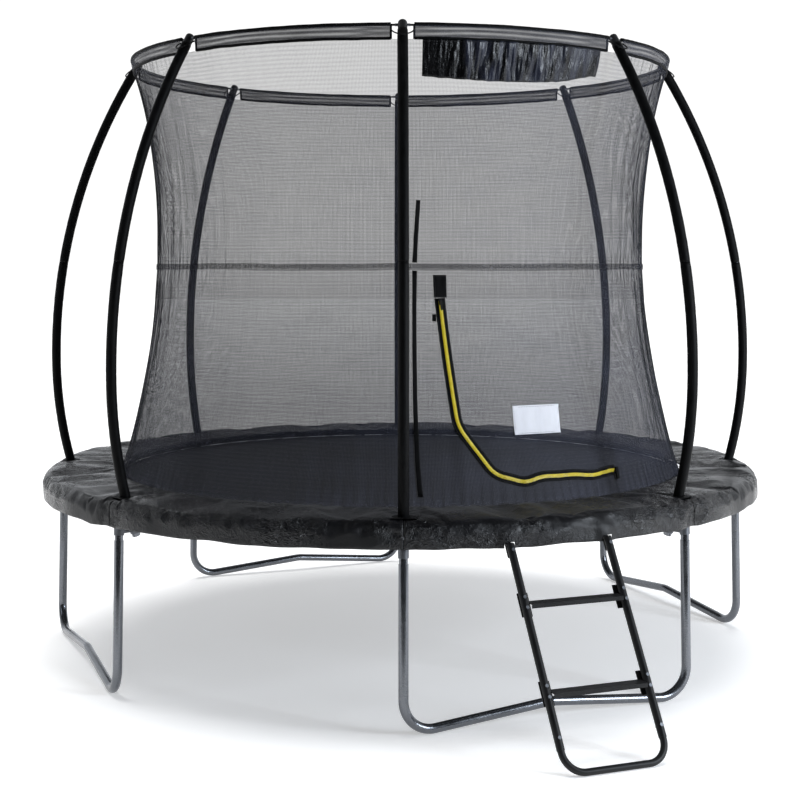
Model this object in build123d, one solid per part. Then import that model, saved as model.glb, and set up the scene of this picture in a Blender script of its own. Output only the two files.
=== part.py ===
from build123d import *
import os
from math import asin, atan, cos, degrees, pi, radians, sin, sqrt, tan

# Round backyard trampoline with an outward-bowed pole enclosure and a ladder.
# Millimetres, +Z up. The origin is on the ground, under the middle of the mat.
# Azimuths are in degrees about +Z, from +X. The ladder is on the -Y side.

os.makedirs("parts", exist_ok=True)

# ------------------------------------------------------------ driving sizes
bay_count = 8
bay_angle = 360 / bay_count
fit_gap = 0.3
seat_gap = 0.1

# ring frame
frame_radius = 1506.0
frame_height = 715.0
rail_radius = 19.0
rail_wall = 1.5
joint_half_length = 70.0
joint_wall = 2.7
neck_radius = 16.0
neck_wall = 1.8
neck_insert = 45.0

# W-shaped legs
leg_radius = 18.0
leg_wall = 1.5
leg_lean = 2.0
leg_top_height = frame_height - 103.0
leg_split_height = 258.0
leg_insert = 50.0
leg_bend_radius = 110.0
kink_rise = 45.0
kink_bend_radius = 160.0
leg_pair_bays = (-90.0, 0.0, 90.0, 180.0)

# bowed poles
pole_bulge = 25.0
pole_clearance = 26.688744
belly_radius = frame_radius + pole_bulge
belly_height = frame_height + 492.0
pole_upper_curve = 2397.0
pole_foot_height = frame_height - 93.0
pole_split_height = frame_height + 939.0
pole_insert = 60.0
pole_tube_radius = 16.0
pole_tube_wall = 1.2
sleeve_radius = 20.0
sleeve_foot_height = frame_height - 15.0
sleeve_top_height = frame_height + 1771.0
sleeve_split_gap = 8.0
cap_radius = 17.2
cap_length = 43.0
clamp_height = frame_height - 65.0
clamp_width = 32.0
clamp_band = 3.0
button_radius = 1.8
button_rise = 1.8

# top ring of glass-fibre rods
rod_height = frame_height + 1791.0
rod_radius = 4.0
ferrule_radius = 5.2
ferrule_half_angle = 1.4

# net
waist_radius = frame_radius - 449.0
waist_height = frame_height + 1105.0
net_lower_flare = 3400.0
net_upper_flare = 2290.0
net_thickness = 1.6
mat_top_height = frame_height + 25.0
net_bottom_height = mat_top_height + 20.0
net_top_height = rod_height - 49.0
tunnel_end_angle = 2.1
tunnel_wall = 1.8
belt_height = frame_height + 925.0
belt_width = 30.0
belt_thickness = 3.0
tie_radius = 2.5
tie_reach = 42.0
tie_drop = 20.0

# mat and springs
mat_radius = frame_radius - 271.0
mat_thickness = 4.0
webbing_width = 34.0
webbing_thickness = 3.0
edge_binding_width = 14.0
hem_thickness = 4.0
springs_per_bay = 7
spring_body_radius = 11.0
spring_bore_radius = 8.0
spring_body_start = mat_radius + 57.0
spring_body_end = frame_radius - 74.0
spring_wire_radius = 1.7
ring_wire_radius = 2.0
ring_half_width = 22.0
ring_apex_radius = mat_radius + 29.0

# spring cover
pad_inner_radius = mat_radius + 8.0
pad_outer_radius = frame_radius + 43.0
pad_thickness = 28.0
skirt_bottom_height = frame_height - 46.0
skirt_thickness = 3.0
pole_hole_gap = 1.0
pad_strap_width = 22.0
pad_strap_thickness = 2.0
pad_strap_offset = 15.0

# zip door, label, strap and banner, in the bay right of the front pole
door_bay = -67.5
zip_top = (-278.0, frame_height + 808.0)
zip_shoulder = (-243.0, frame_height + 335.0)
zip_knee = (-120.0, frame_height + 153.0)
zip_end = (436.0, frame_height + 133.0)
zip_radii = (140.0, 80.0)
tape_width = 34.0
tape_thickness = 1.2
teeth_width = 8.0
teeth_thickness = 1.6
slider_size = (13.0, 22.0, 5.0)
slider_clearance = 0.8
slider_drop = 14.0
pull_size = (8.0, 32.0, 1.8)
patch_size = (46.0, 84.0)
patch_thickness = 2.4
label_size = (200.0, 107.0)
label_centre = (77.0, frame_height + 351.0)
label_thickness = 0.8
clip_size = (14.0, 44.0)
buckle_size = (12.0, 26.0)
buckle_offset = -24.0
strap_width = 13.0
strap_thickness = 1.0
strap_top = (-372.0, frame_height + 1170.0)
strap_foot = (-397.0, frame_height + 85.0)
banner_start_angle = -86.4
banner_end_angle = -49.2
banner_height = 137.0
banner_thickness = 3.0
banner_lean = 14.0

# ladder
ladder_azimuth = -69.5
ladder_lean = 33.0
ladder_spacing = 380.0
ladder_tube_radius = 14.0
ladder_tube_wall = 1.4
ladder_tube_start = 60.0
ladder_tube_end = 785.0
loop_radius = 12.3
loop_wall = 1.4
loop_insert = 60.0
loop_bend_radius = 74.0
step_distances = (278.0, 590.0)
step_depth = 52.0
step_sheet = 2.5
step_lip = 12.0
flange_width = 40.0
flange_height = 86.0
flange_thickness = 3.0
step_bolt_offset = 19.0
loop_bolt_setback = 40.0
hook_width = 24.0
hook_thickness = 5.0
hook_tail = 104.0
hook_lip = 12.0
hook_bolt_setback = 18.0
bolt_head_radius = 6.0
bolt_head_height = 3.0
bolt_shank_radius = 3.0

# ------------------------------------------------------------ worked-out places
clamp_rise = belly_height - clamp_height
pole_leg_spacing = rail_radius + joint_wall + sleeve_radius + pole_clearance
clamp_set_in = pole_bulge + pole_leg_spacing - (frame_height - clamp_height) * tan(radians(leg_lean))
pole_lower_curve = (clamp_rise**2 + clamp_set_in**2) / (2 * clamp_set_in)
tape_start = net_thickness + fit_gap
teeth_start = tape_start + tape_thickness + fit_gap
ring_height = mat_top_height - mat_thickness - webbing_thickness - fit_gap - ring_wire_radius
pad_bottom_height = ring_height + spring_body_radius + fit_gap
pad_top_height = pad_bottom_height + pad_thickness
net_foot_radius = waist_radius + net_lower_flare - sqrt(
    net_lower_flare**2 - (waist_height - net_bottom_height) ** 2
)


# ------------------------------------------------------------ general helpers
def save(shapes, node):
    """Write one node: a single solid, or a group of separate ones."""
    group = shapes[0] if len(shapes) == 1 else Compound(children=list(shapes))
    group.label = node
    export_step(group, f"parts/{node}.step")
    print(node, len(shapes))


def only_solid(shape):
    return shape.solids()[0]


def turned(shape, angle):
    return shape.moved(Location((0, 0, 0), (0, 0, angle)))


def each_bay(shape, start=0.0):
    """One copy of a solid for each bay, about +Z."""
    return [turned(shape, start + i * bay_angle) for i in range(bay_count)]


def polar(radius, azimuth, height):
    return Vector(radius * cos(radians(azimuth)), radius * sin(radians(azimuth)), height)


def rod_between(start, end, radius):
    start = Vector(*start)
    end = Vector(*end)
    line = Plane(origin=start, z_dir=end - start)
    return only_solid(extrude(line * Circle(radius), (end - start).length))


def pipe_between(start, end, outer, inner):
    start = Vector(*start)
    end = Vector(*end)
    line = Plane(origin=start, z_dir=end - start)
    return only_solid(extrude(line * (Circle(outer) - Circle(inner)), (end - start).length))


def swept_pipe(path, outer, inner):
    """A tube along a wire of tangent runs and arcs."""
    section = Plane(origin=path @ 0, z_dir=path % 0) * (Circle(outer) - Circle(inner))
    return only_solid(sweep(section, path=path))


def swept_bar(path, radius):
    section = Plane(origin=path @ 0, z_dir=path % 0) * Circle(radius)
    return only_solid(sweep(section, path=path))


def ring_section(face, start_angle, arc):
    """Turn a face drawn in (radius, height) about +Z."""
    return turned(only_solid(revolve(Plane.XZ * face, Axis.Z, arc)), start_angle)


def rectangle_face(low_radius, high_radius, low_height, high_height):
    size = (high_radius - low_radius, high_height - low_height)
    middle = ((high_radius + low_radius) / 2, (high_height + low_height) / 2)
    return Pos(*middle) * Rectangle(*size)


# ------------------------------------------------------------ ring frame and legs
def leg_point(height, azimuth=0.0):
    """The leg's centreline leans outwards below the rail."""
    return polar(frame_radius + (frame_height - height) * tan(radians(leg_lean)), azimuth, height)


def screw_angle():
    """Azimuth of a joint's screw, to either side of its pole."""
    return degrees(0.7 * joint_half_length / frame_radius)


def screw_hole(azimuth):
    near = polar(frame_radius, azimuth, frame_height)
    far = polar(frame_radius + 2 * rail_radius, azimuth, frame_height)
    return rod_between(near, far, bolt_shank_radius + fit_gap)


def make_rail():
    """One curved rail; its ends meet the next ones inside the T joints."""
    end_gap = degrees(0.5 / frame_radius)
    tube = Pos(frame_radius, frame_height) * (Circle(rail_radius) - Circle(rail_radius - rail_wall))
    rail = ring_section(tube, end_gap, bay_angle - 2 * end_gap)
    return only_solid(rail - screw_hole(screw_angle()) - screw_hole(bay_angle - screw_angle()))


def make_t_joint():
    half = degrees(joint_half_length / frame_radius)
    bore = rail_radius + fit_gap
    sleeve_face = Pos(frame_radius, frame_height) * Circle(bore + joint_wall)
    bore_face = Pos(frame_radius, frame_height) * Circle(bore)
    sleeve = ring_section(sleeve_face, -half, 2 * half)
    neck_bottom = leg_point(leg_top_height - neck_insert)
    neck = rod_between(leg_point(frame_height), neck_bottom, neck_radius)
    neck_bore = rod_between(leg_point(frame_height), neck_bottom, neck_radius - neck_wall)
    channel = ring_section(bore_face, -2 * half, 4 * half)
    holes = screw_hole(-screw_angle()) + screw_hole(screw_angle())
    return only_solid(sleeve + neck - neck_bore - channel - holes)


def make_leg_post():
    """Upper leg tube, with a reduced end that plugs into the base."""
    top = leg_point(leg_top_height)
    split = leg_point(leg_split_height)
    plug_end = leg_point(leg_split_height - leg_insert)
    bore = leg_radius - leg_wall
    plug = bore - fit_gap
    tube = pipe_between(top, split, leg_radius, bore)
    spigot = pipe_between(split, plug_end, plug, plug - leg_wall)
    collar = pipe_between(leg_point(leg_split_height + 6), split, leg_radius, plug - leg_wall)
    return only_solid(tube + collar + spigot)


def leg_corner_height():
    """Height of the sharp corner for which the rounded bend just meets the ground."""
    run = leg_point(0).X * sin(radians(bay_angle / 2))
    slope = atan(kink_rise / run)
    return leg_radius - leg_bend_radius * (tan(slope) + 1 / cos(slope) - 1)


def make_leg_base():
    """W-shaped foot for one pair of posts, a bay apart, with the kink raised."""
    kink_height = leg_radius + kink_rise
    corner = leg_corner_height()
    kink_radius = leg_point(kink_height).X * cos(radians(bay_angle / 2))
    points = [
        leg_point(leg_split_height, 0),
        leg_point(corner, 0),
        polar(kink_radius, bay_angle / 2, kink_height),
        leg_point(corner, bay_angle),
        leg_point(leg_split_height, bay_angle),
    ]
    path = FilletPolyline(*points, radius=[leg_bend_radius, kink_bend_radius, leg_bend_radius])
    return swept_pipe(Wire(path.edges()), leg_radius, leg_radius - leg_wall)


# ------------------------------------------------------------ poles
def pole_curve_at(height):
    return pole_lower_curve if height < belly_height else pole_upper_curve


def pole_point(height):
    """Centreline of the pole at azimuth 0: two arcs that meet at the belly."""
    curve = pole_curve_at(height)
    rise = height - belly_height
    return Vector(belly_radius - curve + sqrt(curve**2 - rise**2), 0, height)


def pole_lean(height):
    """Inward lean of the centreline, in degrees."""
    return degrees(asin((height - belly_height) / pole_curve_at(height)))


def pole_path(low, high):
    stops = [low, belly_height, high] if low < belly_height < high else [low, high]
    arcs = []
    for start, end in zip(stops, stops[1:]):
        middle = pole_point((start + end) / 2)
        arcs.append(ThreePointArc(pole_point(start), middle, pole_point(end)))
    return Wire(arcs)


def make_pole_lower_tube():
    return swept_pipe(
        pole_path(pole_foot_height, pole_split_height),
        pole_tube_radius,
        pole_tube_radius - pole_tube_wall,
    )


def make_pole_upper_tube():
    """Upper tube, with a reduced end that plugs into the lower one."""
    plug = pole_tube_radius - pole_tube_wall - fit_gap
    top = rod_height - 3 * rod_radius
    tube = swept_pipe(
        pole_path(pole_split_height + fit_gap, top),
        pole_tube_radius,
        plug - pole_tube_wall,
    )
    spigot = swept_pipe(
        pole_path(pole_split_height - pole_insert, pole_split_height + fit_gap),
        plug,
        plug - pole_tube_wall,
    )
    return only_solid(tube + spigot)


def make_pole_sleeve(low, high):
    return swept_pipe(pole_path(low, high), sleeve_radius, pole_tube_radius + fit_gap)


def cap_plane():
    """Plane at the sleeve's top, square to the pole."""
    lean = radians(pole_lean(sleeve_top_height))
    return Plane(
        origin=pole_point(sleeve_top_height),
        x_dir=(cos(lean), 0, sin(lean)),
        z_dir=(-sin(lean), 0, cos(lean)),
    )


def make_pole_cap():
    """Domed cap over the pole's end, with a cross hole for the ring rod."""
    dome = 12.0
    bore_depth = 14.0
    wall = cap_radius - pole_tube_radius - fit_gap
    body = Pos(0, 0, cap_length / 2 + fit_gap / 2) * Cylinder(cap_radius, cap_length - fit_gap)
    top_edge = body.edges().group_by(Axis.Z)[-1]
    body = fillet(top_edge, dome)
    bore = Pos(0, 0, bore_depth / 2) * Cylinder(cap_radius - wall, bore_depth + fit_gap)
    cap = cap_plane().location * (body - bore)
    rod_face = Pos(ring_rod_radius(), rod_height) * Circle(ferrule_radius + fit_gap)
    hole = ring_section(rod_face, -4, 8)
    return only_solid(cap - hole)


def ring_rod_radius():
    """The ring rods cross the pole caps on the pole's axis."""
    lean = radians(pole_lean(sleeve_top_height))
    return pole_point(sleeve_top_height).X - (rod_height - sleeve_top_height) * tan(lean)


def make_ring_rod():
    end_gap = degrees(0.5 / ring_rod_radius())
    face = Pos(ring_rod_radius(), rod_height) * Circle(rod_radius)
    return ring_section(face, end_gap, bay_angle - 2 * end_gap)


def make_ferrule():
    face = Pos(ring_rod_radius(), rod_height) * (
        Circle(ferrule_radius) - Circle(rod_radius + fit_gap)
    )
    return ring_section(face, -ferrule_half_angle, 2 * ferrule_half_angle)


def make_pole_clamp():
    """Steel clamp that holds the pole's foot to the T joint's neck."""
    pole = pole_point(clamp_height)
    neck = leg_point(clamp_height)
    lean = radians(pole_lean(clamp_height))
    pole_dir = Vector(-sin(lean), 0, cos(lean))
    neck_dir = (leg_point(leg_top_height) - leg_point(frame_height)).normalized()
    half = clamp_width / 2
    pole_band = pipe_between(
        pole - pole_dir * half,
        pole + pole_dir * half,
        pole_tube_radius + fit_gap + clamp_band,
        pole_tube_radius + fit_gap,
    )
    neck_band = pipe_between(
        neck - neck_dir * half,
        neck + neck_dir * half,
        neck_radius + fit_gap + clamp_band,
        neck_radius + fit_gap,
    )
    pole_bore = rod_between(
        pole - pole_dir * clamp_width, pole + pole_dir * clamp_width, pole_tube_radius + fit_gap
    )
    neck_bore = rod_between(
        neck - neck_dir * clamp_width, neck + neck_dir * clamp_width, neck_radius + fit_gap
    )
    middle = (pole + neck) * 0.5
    web = Pos(middle.X, 0, clamp_height) * Box(neck.X - pole.X, 2 * clamp_band, clamp_width * 0.8)
    side = Vector(0, 2 * clamp_band, 0)
    bolt_hole = rod_between(middle - side, middle + side, bolt_shank_radius + fit_gap)
    return only_solid(pole_band + neck_band + (web - pole_bore - neck_bore - bolt_hole))


def make_clamp_bolt():
    """Bolt with a head and a nut, through the clamp's web, along the tangent."""
    centre = (pole_point(clamp_height) + leg_point(clamp_height)) * 0.5
    side = Vector(0, 1, 0)
    reach = clamp_band + seat_gap
    head_end = reach + bolt_head_height
    nut_end = reach + 2 * bolt_head_height
    shank = rod_between(centre - side * reach, centre + side * reach, bolt_shank_radius)
    head = rod_between(centre - side * head_end, centre - side * reach, bolt_head_radius)
    nut = rod_between(centre + side * reach, centre + side * nut_end, bolt_head_radius)
    return only_solid(shank + head + nut)


def make_joint_screw(side):
    """Screw through a T joint into a rail's end, from the outside."""
    azimuth = side * screw_angle()
    face = frame_radius + rail_radius + fit_gap + joint_wall
    tip = polar(face - joint_wall - fit_gap - rail_wall, azimuth, frame_height)
    seat = polar(face + seat_gap, azimuth, frame_height)
    top = polar(face + seat_gap + bolt_head_height, azimuth, frame_height)
    shank = rod_between(tip, seat, bolt_shank_radius)
    head = rod_between(seat, top, bolt_head_radius)
    return only_solid(shank + head)


def make_snap_button():
    """Head of the button that locks the pole's tubes, seen between the two sleeves."""
    lean = radians(pole_lean(pole_split_height))
    out = Vector(cos(lean), 0, sin(lean))
    centre = pole_point(pole_split_height - button_radius - fit_gap)
    inner = centre + out * (pole_tube_radius + seat_gap)
    return rod_between(inner, inner + out * button_rise, button_radius)


# ------------------------------------------------------------ net
def net_radius(height, offset=0.0):
    """Radius of the waisted net; offset is measured outwards, square to it."""
    flare = net_lower_flare if height < waist_height else net_upper_flare
    rise = height - waist_height
    return waist_radius + flare - sqrt((flare - offset) ** 2 - rise**2)


def net_curve(low, high, offset):
    """The net's profile between two heights, as one or two arcs in (radius, height)."""
    crosses = low < waist_height < high
    stops = [low, waist_height, high] if crosses else [low, high]
    arcs = []
    for start, end in zip(stops, stops[1:]):
        points = [(net_radius(h, offset), h) for h in (start, (start + end) / 2, end)]
        arcs.append(ThreePointArc(*points))
    return arcs


def net_face(low, high, inner_offset, outer_offset):
    inner = net_curve(low, high, inner_offset)
    outer = net_curve(low, high, outer_offset)
    foot = Line(inner[0] @ 0, outer[0] @ 0)
    head = Line(inner[-1] @ 1, outer[-1] @ 1)
    return make_face([*inner, *outer, foot, head])


def make_net_panel():
    face = net_face(net_bottom_height + fit_gap, net_top_height, 0, net_thickness)
    return ring_section(face, 0, bay_angle)


def make_net_belt():
    low = belt_height - belt_width / 2
    high = belt_height + belt_width / 2
    start = net_thickness + fit_gap
    face = net_face(low, high, start, start + belt_thickness)
    return ring_section(face, 0, bay_angle)


def make_net_tunnel():
    """Fabric sleeve over a ring rod, with a doubled band hanging to the net's top."""
    rod = ring_rod_radius()
    bore = rod_radius + fit_gap
    outer = Pos(rod, rod_height) * Circle(bore + tunnel_wall)
    top = net_radius(net_top_height)
    band = Polygon(
        (rod - tunnel_wall, rod_height),
        (rod + tunnel_wall, rod_height),
        (top + net_thickness + 0.5, net_top_height),
        (top, net_top_height),
        align=None,
    )
    face = outer + band - Pos(rod, rod_height) * Circle(bore)
    return ring_section(face, tunnel_end_angle, bay_angle - 2 * tunnel_end_angle)


def make_pole_tie():
    """Elastic loop from one tunnel's end, round the outside of the pole, to the next."""
    low = sleeve_top_height - tie_drop
    rod = ring_rod_radius()
    slack = sleeve_radius + tie_radius + 2 * fit_gap
    outside = pole_point(low).X + slack / cos(radians(pole_lean(low)))
    end_height = rod_height - tie_drop / 2
    path = ThreePointArc(
        (rod, -tie_reach, end_height), (outside, 0, low), (rod, tie_reach, end_height)
    )
    return swept_bar(Wire([path]), tie_radius)


def make_net_hem():
    """Bound lower edge of the net, standing on the mat's edge."""
    low = net_foot_radius - (hem_thickness - net_thickness) / 2
    foot = mat_top_height + fit_gap
    face = rectangle_face(low, low + hem_thickness, foot, net_bottom_height)
    return only_solid(revolve(Plane.XZ * face, Axis.Z, 360))


# ------------------------------------------------------------ things on the door bay's net
def door_plane(distance=0.0):
    """Plane facing out of the door bay: x runs to larger azimuths, y is up."""
    out = polar(1, door_bay, 0)
    return Plane(origin=out * distance, x_dir=polar(1, door_bay + 90, 0), z_dir=out)


def on_net(face, inner_offset, outer_offset):
    """Cut the outline of a flat face out of a thin shell that follows the net."""
    box = face.bounding_box()
    low = box.min.Y - 5
    high = box.max.Y + 5
    start = waist_radius * 0.8
    prism = extrude(door_plane(start) * face, 2 * waist_radius - start)
    profile = net_face(low, high, inner_offset, outer_offset)
    shell = ring_section(profile, door_bay - bay_angle / 2, bay_angle)
    return only_solid(shell & prism)


def zip_route(setback=0.0):
    """Centreline of the L-shaped zip, in the door plane."""
    start = (zip_top[0], zip_top[1] - setback)
    path = FilletPolyline(start, zip_shoulder, zip_knee, zip_end, radius=list(zip_radii))
    return Wire(path.edges())


def make_zip_tape():
    face = trace(zip_route(), line_width=tape_width)
    return on_net(face.faces()[0], tape_start, tape_start + tape_thickness)


def make_zip_teeth():
    face = trace(zip_route(4.0), line_width=teeth_width)
    return on_net(face.faces()[0], teeth_start, teeth_start + teeth_thickness)


def zip_point(distance, offset):
    """Point above the straight upper stretch of the zip, a distance below its top."""
    run = Vector(*zip_shoulder) - Vector(*zip_top)
    spot = Vector(*zip_top) + run.normalized() * distance
    radius = net_radius(spot.Y, offset)
    depth = sqrt(radius**2 - spot.X**2)
    return door_plane().from_local_coords(Vector(spot.X, spot.Y, depth))


def slider_plane():
    """Seat of the slider on the teeth: y points up the zip, z out of the net."""
    offset = teeth_start + teeth_thickness + slider_clearance
    middle = zip_point(slider_drop, offset)
    up = (zip_point(slider_drop - 5, offset) - zip_point(slider_drop + 5, offset)).normalized()
    radial = Vector(middle.X, middle.Y, 0).normalized()
    across = up.cross(radial).normalized()
    return Plane(origin=middle, x_dir=across, z_dir=across.cross(up))


def make_zip_slider():
    width, length, height = slider_size
    body = Pos(0, 0, height / 2) * Box(width, length, height)
    body = fillet(body.edges().filter_by(Axis.Z), 3.0)
    bridge = Pos(0, length / 4, height + 1.2) * Box(4.0, length / 3, 2.4)
    return only_solid(slider_plane().location * (body + bridge))


def make_zip_pull():
    """Pull tab hanging from the slider's bridge, free to swing out."""
    width, length, thickness = pull_size
    slider_length = slider_size[1]
    slider_height = slider_size[2]
    top = slider_length / 4 - slider_length / 6 - 2 * fit_gap
    lift = slider_height + 2 * fit_gap + thickness / 2
    tab = Pos(0, top - length / 2, lift) * Box(width, length, thickness)
    tab = fillet(tab.edges().filter_by(Axis.Z), 2.5)
    return only_solid(slider_plane().location * tab)


def make_zip_patch():
    centre_y = zip_top[1] + 2.0 + patch_size[1] / 2
    face = Pos(zip_top[0] + 3, centre_y) * Rectangle(*patch_size)
    return on_net(face, tape_start, tape_start + patch_thickness)


def make_label():
    face = Pos(*label_centre) * Rectangle(*label_size)
    return on_net(face, tape_start, tape_start + label_thickness)


def make_end_clip():
    width, height = clip_size
    face = Pos(zip_end[0] + 1.2 + width / 2, zip_end[1] - 8) * Rectangle(width, height)
    return on_net(face, tape_start, tape_start + 3 * patch_thickness)


def make_buckle():
    width, height = buckle_size
    face = Pos(zip_top[0] + buckle_offset, zip_top[1] - 72) * Rectangle(width, height)
    return on_net(face, tape_start, tape_start + 2 * patch_thickness)


def make_net_strap(high_end, low_end):
    """A length of thin webbing sewn down the net, between two heights."""
    run = Vector(*strap_foot) - Vector(*strap_top)
    drop = strap_top[1] - strap_foot[1]
    start = Vector(*strap_top) + run * ((strap_top[1] - high_end) / drop)
    end = Vector(*strap_top) + run * ((strap_top[1] - low_end) / drop)
    face = trace(Wire([Line(start, end)]), line_width=strap_width)
    return on_net(face.faces()[0], tape_start, tape_start + strap_thickness)


def make_banner():
    """Plain hanging panel under the tunnel of the door bay."""
    top = net_radius(net_top_height) + net_thickness
    high = net_top_height - fit_gap
    low = high - banner_height
    face = Polygon(
        (top + 0.5, high),
        (top + 0.5 + banner_thickness, high),
        (top - banner_lean + banner_thickness, low),
        (top - banner_lean, low),
        align=None,
    )
    return ring_section(face, banner_start_angle, banner_end_angle - banner_start_angle)


# ------------------------------------------------------------ mat and springs
def make_mat():
    """Round cloth, inside its bound edge."""
    centre = mat_top_height - mat_thickness / 2
    radius = mat_radius - edge_binding_width - fit_gap
    return only_solid(Pos(0, 0, centre) * Cylinder(radius, mat_thickness))


def make_mat_webbing():
    """Binding round the cloth's edge, with a wider band under it."""
    middle = mat_top_height - mat_thickness
    low = middle - webbing_thickness
    inner = mat_radius - webbing_width
    binding = mat_radius - edge_binding_width
    outline = Polyline(
        (inner, low),
        (mat_radius, low),
        (mat_radius, mat_top_height),
        (binding, mat_top_height),
        (binding, middle),
        (inner, middle),
        close=True,
    )
    return only_solid(revolve(Plane.XZ * make_face(outline), Axis.Z, 360))


def make_v_ring():
    """Triangular wire ring lying just under the mat's edge webbing."""
    back = mat_radius - webbing_width / 2
    path = FilletPolyline(
        (ring_apex_radius, 0, ring_height),
        (back, ring_half_width, ring_height),
        (back, -ring_half_width, ring_height),
        radius=2.6 * ring_wire_radius,
        close=True,
    )
    return swept_bar(Wire(path.edges()), ring_wire_radius)


def ring_apex():
    """Centre of the V ring's wire at its rounded apex."""
    back = mat_radius - webbing_width / 2
    half = atan(ring_half_width / (ring_apex_radius - back))
    bend = 2.6 * ring_wire_radius
    return ring_apex_radius - bend / sin(half) + bend


def make_spring():
    """Tension spring: coil barrel, tapered ends, and an eye linked to the V ring."""
    eye_radius = 5.6
    eye_centre = ring_apex() + eye_radius - spring_wire_radius - ring_wire_radius - fit_gap
    eye_face = Pos(eye_radius, 0) * Circle(spring_wire_radius)
    eye = revolve(Plane.XZ * eye_face, Axis.Z, 360)
    eye = Location((eye_centre, 0, ring_height), (90, 0, 0)) * eye
    eye_side = eye_centre + eye_radius
    rail_reach = rail_radius + spring_wire_radius + fit_gap
    rail_side = frame_radius - sqrt(rail_reach**2 - (ring_height - frame_height) ** 2)
    taper = 14.0
    outline = Polyline(
        (eye_side, 0),
        (eye_side, spring_wire_radius),
        (spring_body_start - taper, spring_wire_radius),
        (spring_body_start, spring_body_radius),
        (spring_body_end, spring_body_radius),
        (spring_body_end + taper, spring_wire_radius),
        (rail_side, spring_wire_radius),
        (rail_side, 0),
        close=True,
    )
    barrel = revolve(make_face(outline), Axis.X, 360)
    hollow_length = spring_body_end - spring_body_start
    hollow_middle = (spring_body_end + spring_body_start) / 2
    hollow = Pos(hollow_middle, 0, 0) * Rot(0, 90, 0) * Cylinder(spring_bore_radius, hollow_length)
    return only_solid(Pos(0, 0, ring_height) * (barrel - hollow) + eye)


def at_each_spring(shape):
    """Copies about +Z, an equal number in each bay and none on a pole."""
    step = bay_angle / springs_per_bay
    count = bay_count * springs_per_bay
    return [turned(shape, (i + 0.5) * step) for i in range(count)]


# ------------------------------------------------------------ spring cover
def make_pad_segment():
    """Padded cover over one bay's springs, with a skirt outside the rail."""
    top = rectangle_face(pad_inner_radius, pad_outer_radius, pad_bottom_height, pad_top_height)
    skirt = rectangle_face(
        pad_outer_radius - skirt_thickness,
        pad_outer_radius,
        skirt_bottom_height,
        pad_bottom_height + 1,
    )
    segment = ring_section(top + skirt, 0, bay_angle)
    lean = radians(pole_lean(pad_bottom_height))
    along = Vector(-sin(lean), 0, cos(lean)) * (4 * pad_thickness)
    middle = pole_point((pad_bottom_height + pad_top_height) / 2)
    hole = rod_between(middle - along, middle + along, sleeve_radius + pole_hole_gap)
    return only_solid(segment - hole - turned(hole, bay_angle))


def cut_for_ladder(segment):
    """Room in the cover for the ladder's hooks: a pocket above and a slot in the skirt."""
    margin = 5.0
    width = hook_width + 2 * margin
    pocket_top = frame_height + hook_inner_radius() + hook_thickness + 2.0
    inner = frame_radius - 70
    outer = pad_outer_radius + 5
    result = segment
    for side in (-1, 1):
        lateral = side * ladder_spacing / 2
        pocket = Pos((inner + outer) / 2, lateral, (pocket_top + skirt_bottom_height) / 2) * Box(
            outer - inner, width, pocket_top - skirt_bottom_height + 2 * fit_gap
        )
        result = result - turned(pocket, ladder_azimuth)
    return only_solid(result)


def make_pad_strap(azimuth):
    """Elastic strap that holds the cover down, looped round the rail."""
    half = degrees(pad_strap_width / 2 / frame_radius)
    bore = rail_radius + fit_gap
    outer = bore + pad_strap_thickness
    top = pad_bottom_height - fit_gap
    middle = frame_radius
    loop = Pos(middle, frame_height) * Circle(outer)
    tab = rectangle_face(middle - outer, middle + outer, frame_height, top)
    hole = Pos(middle, frame_height) * Circle(bore)
    room = rectangle_face(
        middle - bore, middle + bore, frame_height, top - pad_strap_thickness
    )
    return ring_section(loop + tab - hole - room, azimuth - half, 2 * half)


# ------------------------------------------------------------ ladder
def hook_inner_radius():
    """Clears the curved rail over the hook's whole width."""
    half = ladder_spacing / 2
    near = sqrt(frame_radius**2 - (half - hook_width / 2) ** 2)
    middle = sqrt(frame_radius**2 - half**2)
    far = sqrt(frame_radius**2 - (half + hook_width / 2) ** 2)
    wander = max(near - middle, middle - far)
    slant = rail_radius / cos(asin((half + hook_width / 2) / frame_radius)) - rail_radius
    return rail_radius + wander + slant + fit_gap


def ladder_offset():
    """Distance of the ladder's tubes from the rail's axis, square to the ladder."""
    return hook_inner_radius() + hook_thickness + ladder_tube_radius


def ladder_plane():
    """Origin on the rail's axis at the hooks; x is sideways, y up the ladder, z outwards."""
    lean = radians(ladder_lean)
    out = polar(1, ladder_azimuth, 0)
    hinge_radius = sqrt(frame_radius**2 - (ladder_spacing / 2) ** 2)
    return Plane(
        origin=out * hinge_radius + Vector(0, 0, frame_height),
        x_dir=polar(1, ladder_azimuth + 90, 0),
        z_dir=out * cos(lean) + Vector(0, 0, sin(lean)),
    )


def placed_on_ladder(shape):
    return only_solid(ladder_plane().location * shape)


def floor_distance():
    """Distance down the ladder at which the loop's tube meets the ground."""
    lean = radians(ladder_lean)
    return (frame_height + ladder_offset() * sin(lean) - loop_radius) / cos(lean)


def bolt_distances():
    """Places down each ladder tube where a bolt goes through it."""
    places = [hook_tail - hook_bolt_setback, ladder_tube_end - loop_bolt_setback]
    for distance in step_distances:
        places += [distance - step_bolt_offset, distance + step_bolt_offset]
    return places


def drilled(shape):
    """Cut the ladder's bolt holes, all square to the ladder."""
    reach = 2 * ladder_tube_radius
    low = ladder_offset() - reach
    high = ladder_offset() + reach
    result = shape
    for side in (-1, 1):
        lateral = side * ladder_spacing / 2
        for place in bolt_distances():
            hole = rod_between(
                (lateral, -place, low), (lateral, -place, high), bolt_shank_radius + fit_gap
            )
            result = result - hole
    return only_solid(result)


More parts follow.
